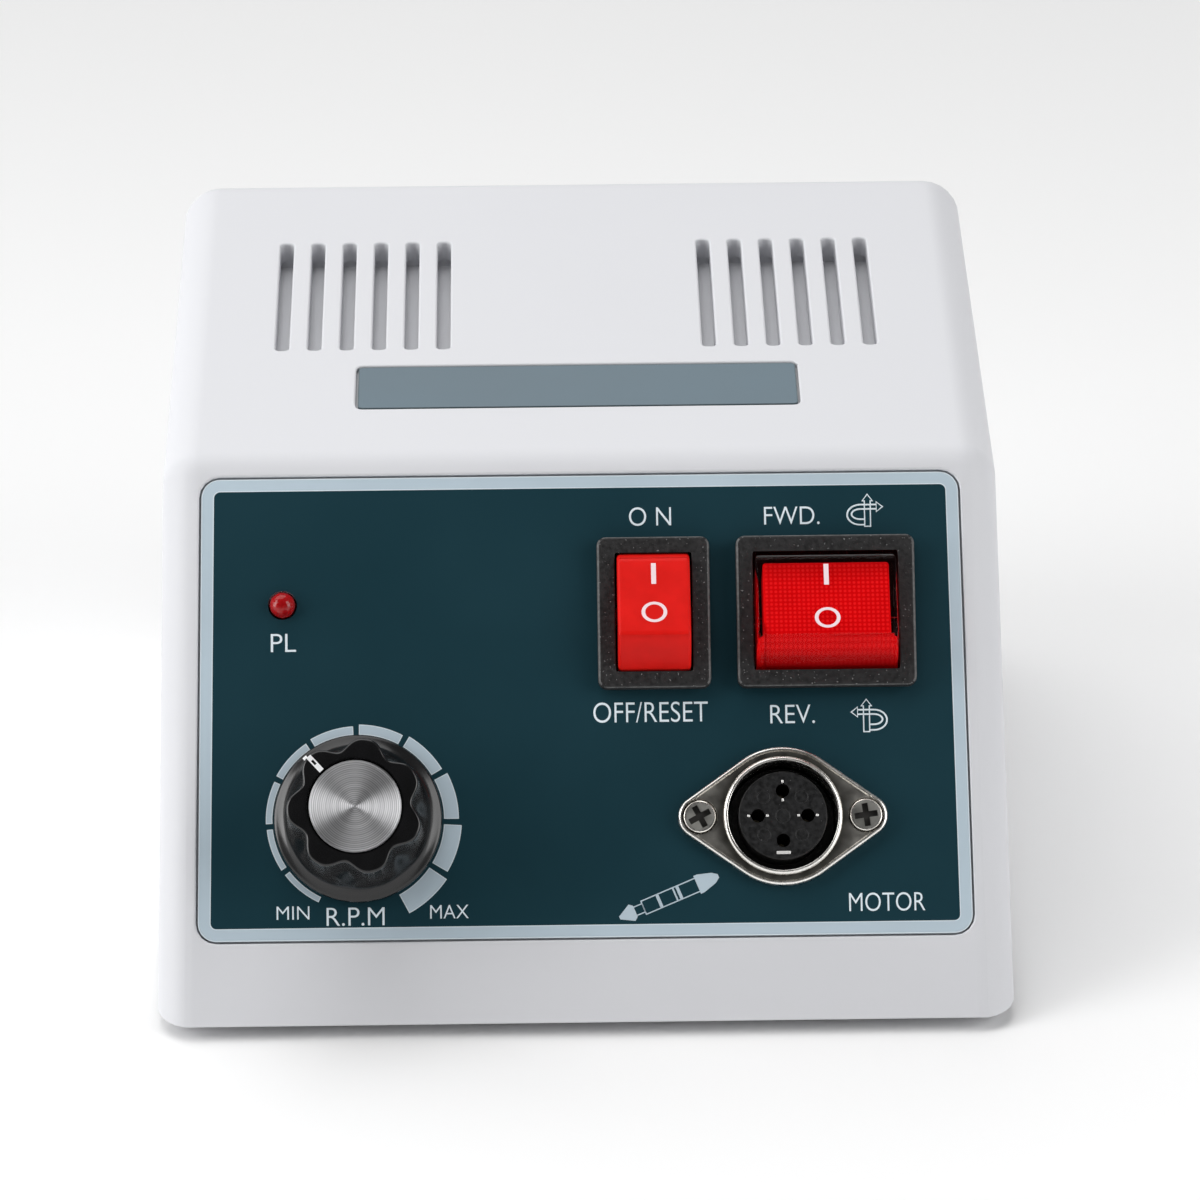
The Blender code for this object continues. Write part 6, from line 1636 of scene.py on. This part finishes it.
depth = {"Subsurface Weight": 0.5, "Subsurface Radius": (1.0, 0.2, 0.15), "Subsurface Scale": 1.0 * MM}
shine = {SPECULAR: 0.3, "Coat Weight": 0.15, "Coat Roughness": 0.05}
look = {"tone": 0.1, "patch": 1, "gloss": 0.03, "grain": 0.4, "relief": 0.001}
tinted_red = surface("tinted_red", (0.36, 0.004, 0.006), 0.14, extra={**depth, **shine}, **look)
lamp_profile = [(0, LAMP_LOW), (LAMP_FLANGE, LAMP_LOW), (LAMP_FLANGE, LAMP_STEP), (LAMP_RADIUS, LAMP_STEP)]
lamp_profile += arc_points(LAMP_RADIUS, LAMP_RADIUS, 0, LAMP_RISE - LAMP_RADIUS, 0, 90, 12)
lamp = turned_piece("lamp_dome", lamp_profile, LAMP_SIDES)
smooth(lamp)
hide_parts("pilot_lamp")
lamp_face = panel_face @ Matrix.Translation((LAMP_X, LAMP_Y, 0))
lay_on(lamp, lamp_face, "housing", "lamp_lens", tinted_red)

# %% [markdown]
# ## Underneath and behind
# The base plate, the feet and the rear fittings have their true form already. Cleaned copies get
# eased edges and smooth rounds, each with its own finish.

# %% Plain finishes
base_plastic = surface(
    "base_grey", (0.56, 0.56, 0.59), 0.55, tone=0.03, patch=25, gloss=0.05, grain=0.25, relief=0.01
)
rubber = surface("foot_rubber", (0.028, 0.028, 0.029), 0.8, tone=0.3, patch=2, gloss=0.08, relief=0.03)
zinc = surface(
    "zinc_steel", (0.62, 0.62, 0.60), 0.34, 1.0, tone=0.1, patch=1.5, gloss=0.08, grain=0.2, relief=0.006
)
fitting_black = surface(
    "fitting_black", (0.014, 0.014, 0.015), 0.4, tone=0.2, patch=4, gloss=0.08, grain=0.25, relief=0.01
)
plated = nickel("plated_nickel", (0.7, 0.68, 0.64), 0.25, 0.3, 0.003, 0.06)
print("finishes so far", len(bpy.data.materials))

# %% Cleaned copies
EASE_ANGLE = math.radians(35)
EASED = [
    ("base_plate", "floor_plate", 0.2, "housing", "base_plastic", base_plastic),
    ("fuse_holder", "fuse_socket", 0.15, "housing", "fitting_plastic", fitting_black),
    ("foot_jack", "pedal_socket", 0.15, "housing", "fitting_plastic", fitting_black),
    ("foot_jack_nut", "pedal_socket_nut", 0.12, "housing", "nickel", plated),
    ("mains_inlet", "mains_socket", 0.2, "housing", "fitting_plastic", fitting_black),
    ("fuse_cap", "fuse_knob", 0.1, "fuse_cap", "fitting_plastic", fitting_black),
]
EASED += [(f"foot_{n}", f"rubber_foot_{n}", 0.2, "housing", "foot_rubber", rubber) for n in range(1, 5)]
EASED += [(f"base_screw_{n}", f"floor_screw_{n}", 0.08, "housing", "zinc_steel", zinc) for n in range(1, 5)]
EASED += [(f"inlet_pin_{n}", f"mains_blade_{n}", 0.12, "housing", "nickel", plated) for n in range(1, 4)]
for node_name, piece_name, width, body, slot, finish in EASED:
    piece = cleaned_copy(node_name, piece_name)
    ease(piece, width * MM, 2, EASE_ANGLE)
    lay_on(piece, Matrix(), body, slot, finish)

# %% [markdown]
# ## Inside
# Nothing opens the box, but the pieces inside show faintly through the slots. They keep their
# packed form and get their own finishes: varnished laminations, yellow tape, green laminate,
# and so on.

# %% Finishes for the inside
def banded(name, color, stripe, share, roughness, **settings):
    """A finish with a second colour over it, where a share worked out from its nodes is high."""
    material = surface(name, color, roughness, **settings)
    repaint(material, share(material.node_tree), stripe)
    return material


def sheet_edges(tree):
    waves = {"Vector": object_place(tree), "Scale": 50.0}
    return spread(tree, node(tree, "TexWave", waves, out="Fac", bands_direction="Y"), 0.1, 0.0, 0.0, 0.8)


def laps_of_tape(tree):
    waves = {"Vector": object_place(tree), "Scale": 8.0, "Distortion": 0.6}
    return spread(tree, node(tree, "TexWave", waves, out="Fac", bands_direction="Z"), 0.12, 0.0, 0.0, 0.6)


def copper_tracks(tree):
    bricks = {"Vector": object_place(tree), "Scale": 180.0, "Mortar Size": 0.05, "Mortar Smooth": 0.1}
    return spread(tree, node(tree, "TexBrick", bricks, out="Fac"), 0.0, 1.0, 0.0, 0.6)


def sleeve_stripe(tree):
    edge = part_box("filter_capacitor")[0].x + 2.4 * MM
    return spread(tree, along_axis(tree, "X"), edge, edge - 0.2 * MM)


laminated_steel = banded(
    "laminated_steel", (0.15, 0.15, 0.16), (0.03, 0.03, 0.032), sheet_edges, 0.45,
    metallic=0.6, tone=0.2, patch=6, relief=0.01,
)
wound_tape = banded(
    "wound_tape", (0.70, 0.50, 0.07), (0.35, 0.22, 0.03), laps_of_tape, 0.3,
    tone=0.1, patch=5, grain=0.5, relief=0.01,
)
green_laminate = banded(
    "green_laminate", (0.018, 0.15, 0.055), (0.03, 0.26, 0.09), copper_tracks, 0.35,
    tone=0.15, patch=4, gloss=0.05, grain=0.4, relief=0.004,
)
capacitor_sleeve = banded(
    "capacitor_sleeve", (0.012, 0.014, 0.05), (0.45, 0.46, 0.5), sleeve_stripe, 0.28,
    tone=0.15, patch=4, gloss=0.05, grain=0.4, relief=0.004,
)

# %% Finishes that turn to metal along a piece
TAB_HEIGHT = 6.2 * MM
END_CAP = 5.0 * MM


def partly_metal(name, color, metal, share, roughness, **settings):
    """One node with two materials in it: bare metal where the share is high."""
    material = banded(name, color, metal, share, roughness, **settings)
    tree = material.node_tree
    tree.links.new(share(tree), inputs_of(material)["Metallic"])
    return material


def on_tab(tree):
    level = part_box("power_transistor")[1].z - TAB_HEIGHT
    return spread(tree, along_axis(tree, "Z"), level, level + 0.05 * MM)


def on_end_caps(tree):
    low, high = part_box("fuse")
    along = along_axis(tree, "Y")
    near = spread(tree, along, low.y + END_CAP, low.y + END_CAP - 0.1 * MM)
    far = spread(tree, along, high.y - END_CAP, high.y - END_CAP + 0.1 * MM)
    return calculate(tree, "MAXIMUM", near, far)


transistor_finish = partly_metal(
    "transistor_epoxy", (0.02, 0.02, 0.021), (0.55, 0.54, 0.52), on_tab, 0.4,
    tone=0.1, patch=2, grain=0.25, relief=0.006,
)
fuse_glass = partly_metal(
    "fuse_glass", (0.78, 0.82, 0.82), (0.66, 0.64, 0.6), on_end_caps, 0.1,
    tone=0.03, patch=3, gloss=0.03, grain=0.4, relief=0.001,
)
black_anodised = surface(
    "black_anodised", (0.03, 0.03, 0.032), 0.42, 0.8, tone=0.15, patch=4, grain=0.2, relief=0.006
)

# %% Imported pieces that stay
BRASS_PIECES = ["power_contact_lever_1", "direction_contact_lever_1", "direction_contact_lever_2"]
BRASS_PIECES += [f"power_terminal_{number}" for number in (1, 2)]
BRASS_PIECES += [f"direction_terminal_{number}" for number in range(1, 7)]
ZINC_PIECES = ["knob_set_screw", "pot_body", "transformer_strap"]
ZINC_PIECES += [f"transformer_screw_{number}" for number in (1, 2)]
KEPT = dict.fromkeys(BRASS_PIECES, brass_finish)
KEPT.update(dict.fromkeys(ZINC_PIECES, zinc))
KEPT.update(dict.fromkeys(("pot_shaft", "pot_nut"), plated))
KEPT["transformer_core"] = laminated_steel
KEPT["transformer_winding"] = wound_tape
KEPT["control_board"] = green_laminate
KEPT["filter_capacitor"] = capacitor_sleeve
KEPT["heat_sink"] = black_anodised
KEPT["power_transistor"] = transistor_finish
KEPT["fuse"] = fuse_glass
for node_name, finish in KEPT.items():
    kept = frame["nodes"][node_name]
    kept.data.materials.clear()
    kept.data.materials.append(finish)
print("packed pieces with a new finish", len(KEPT))
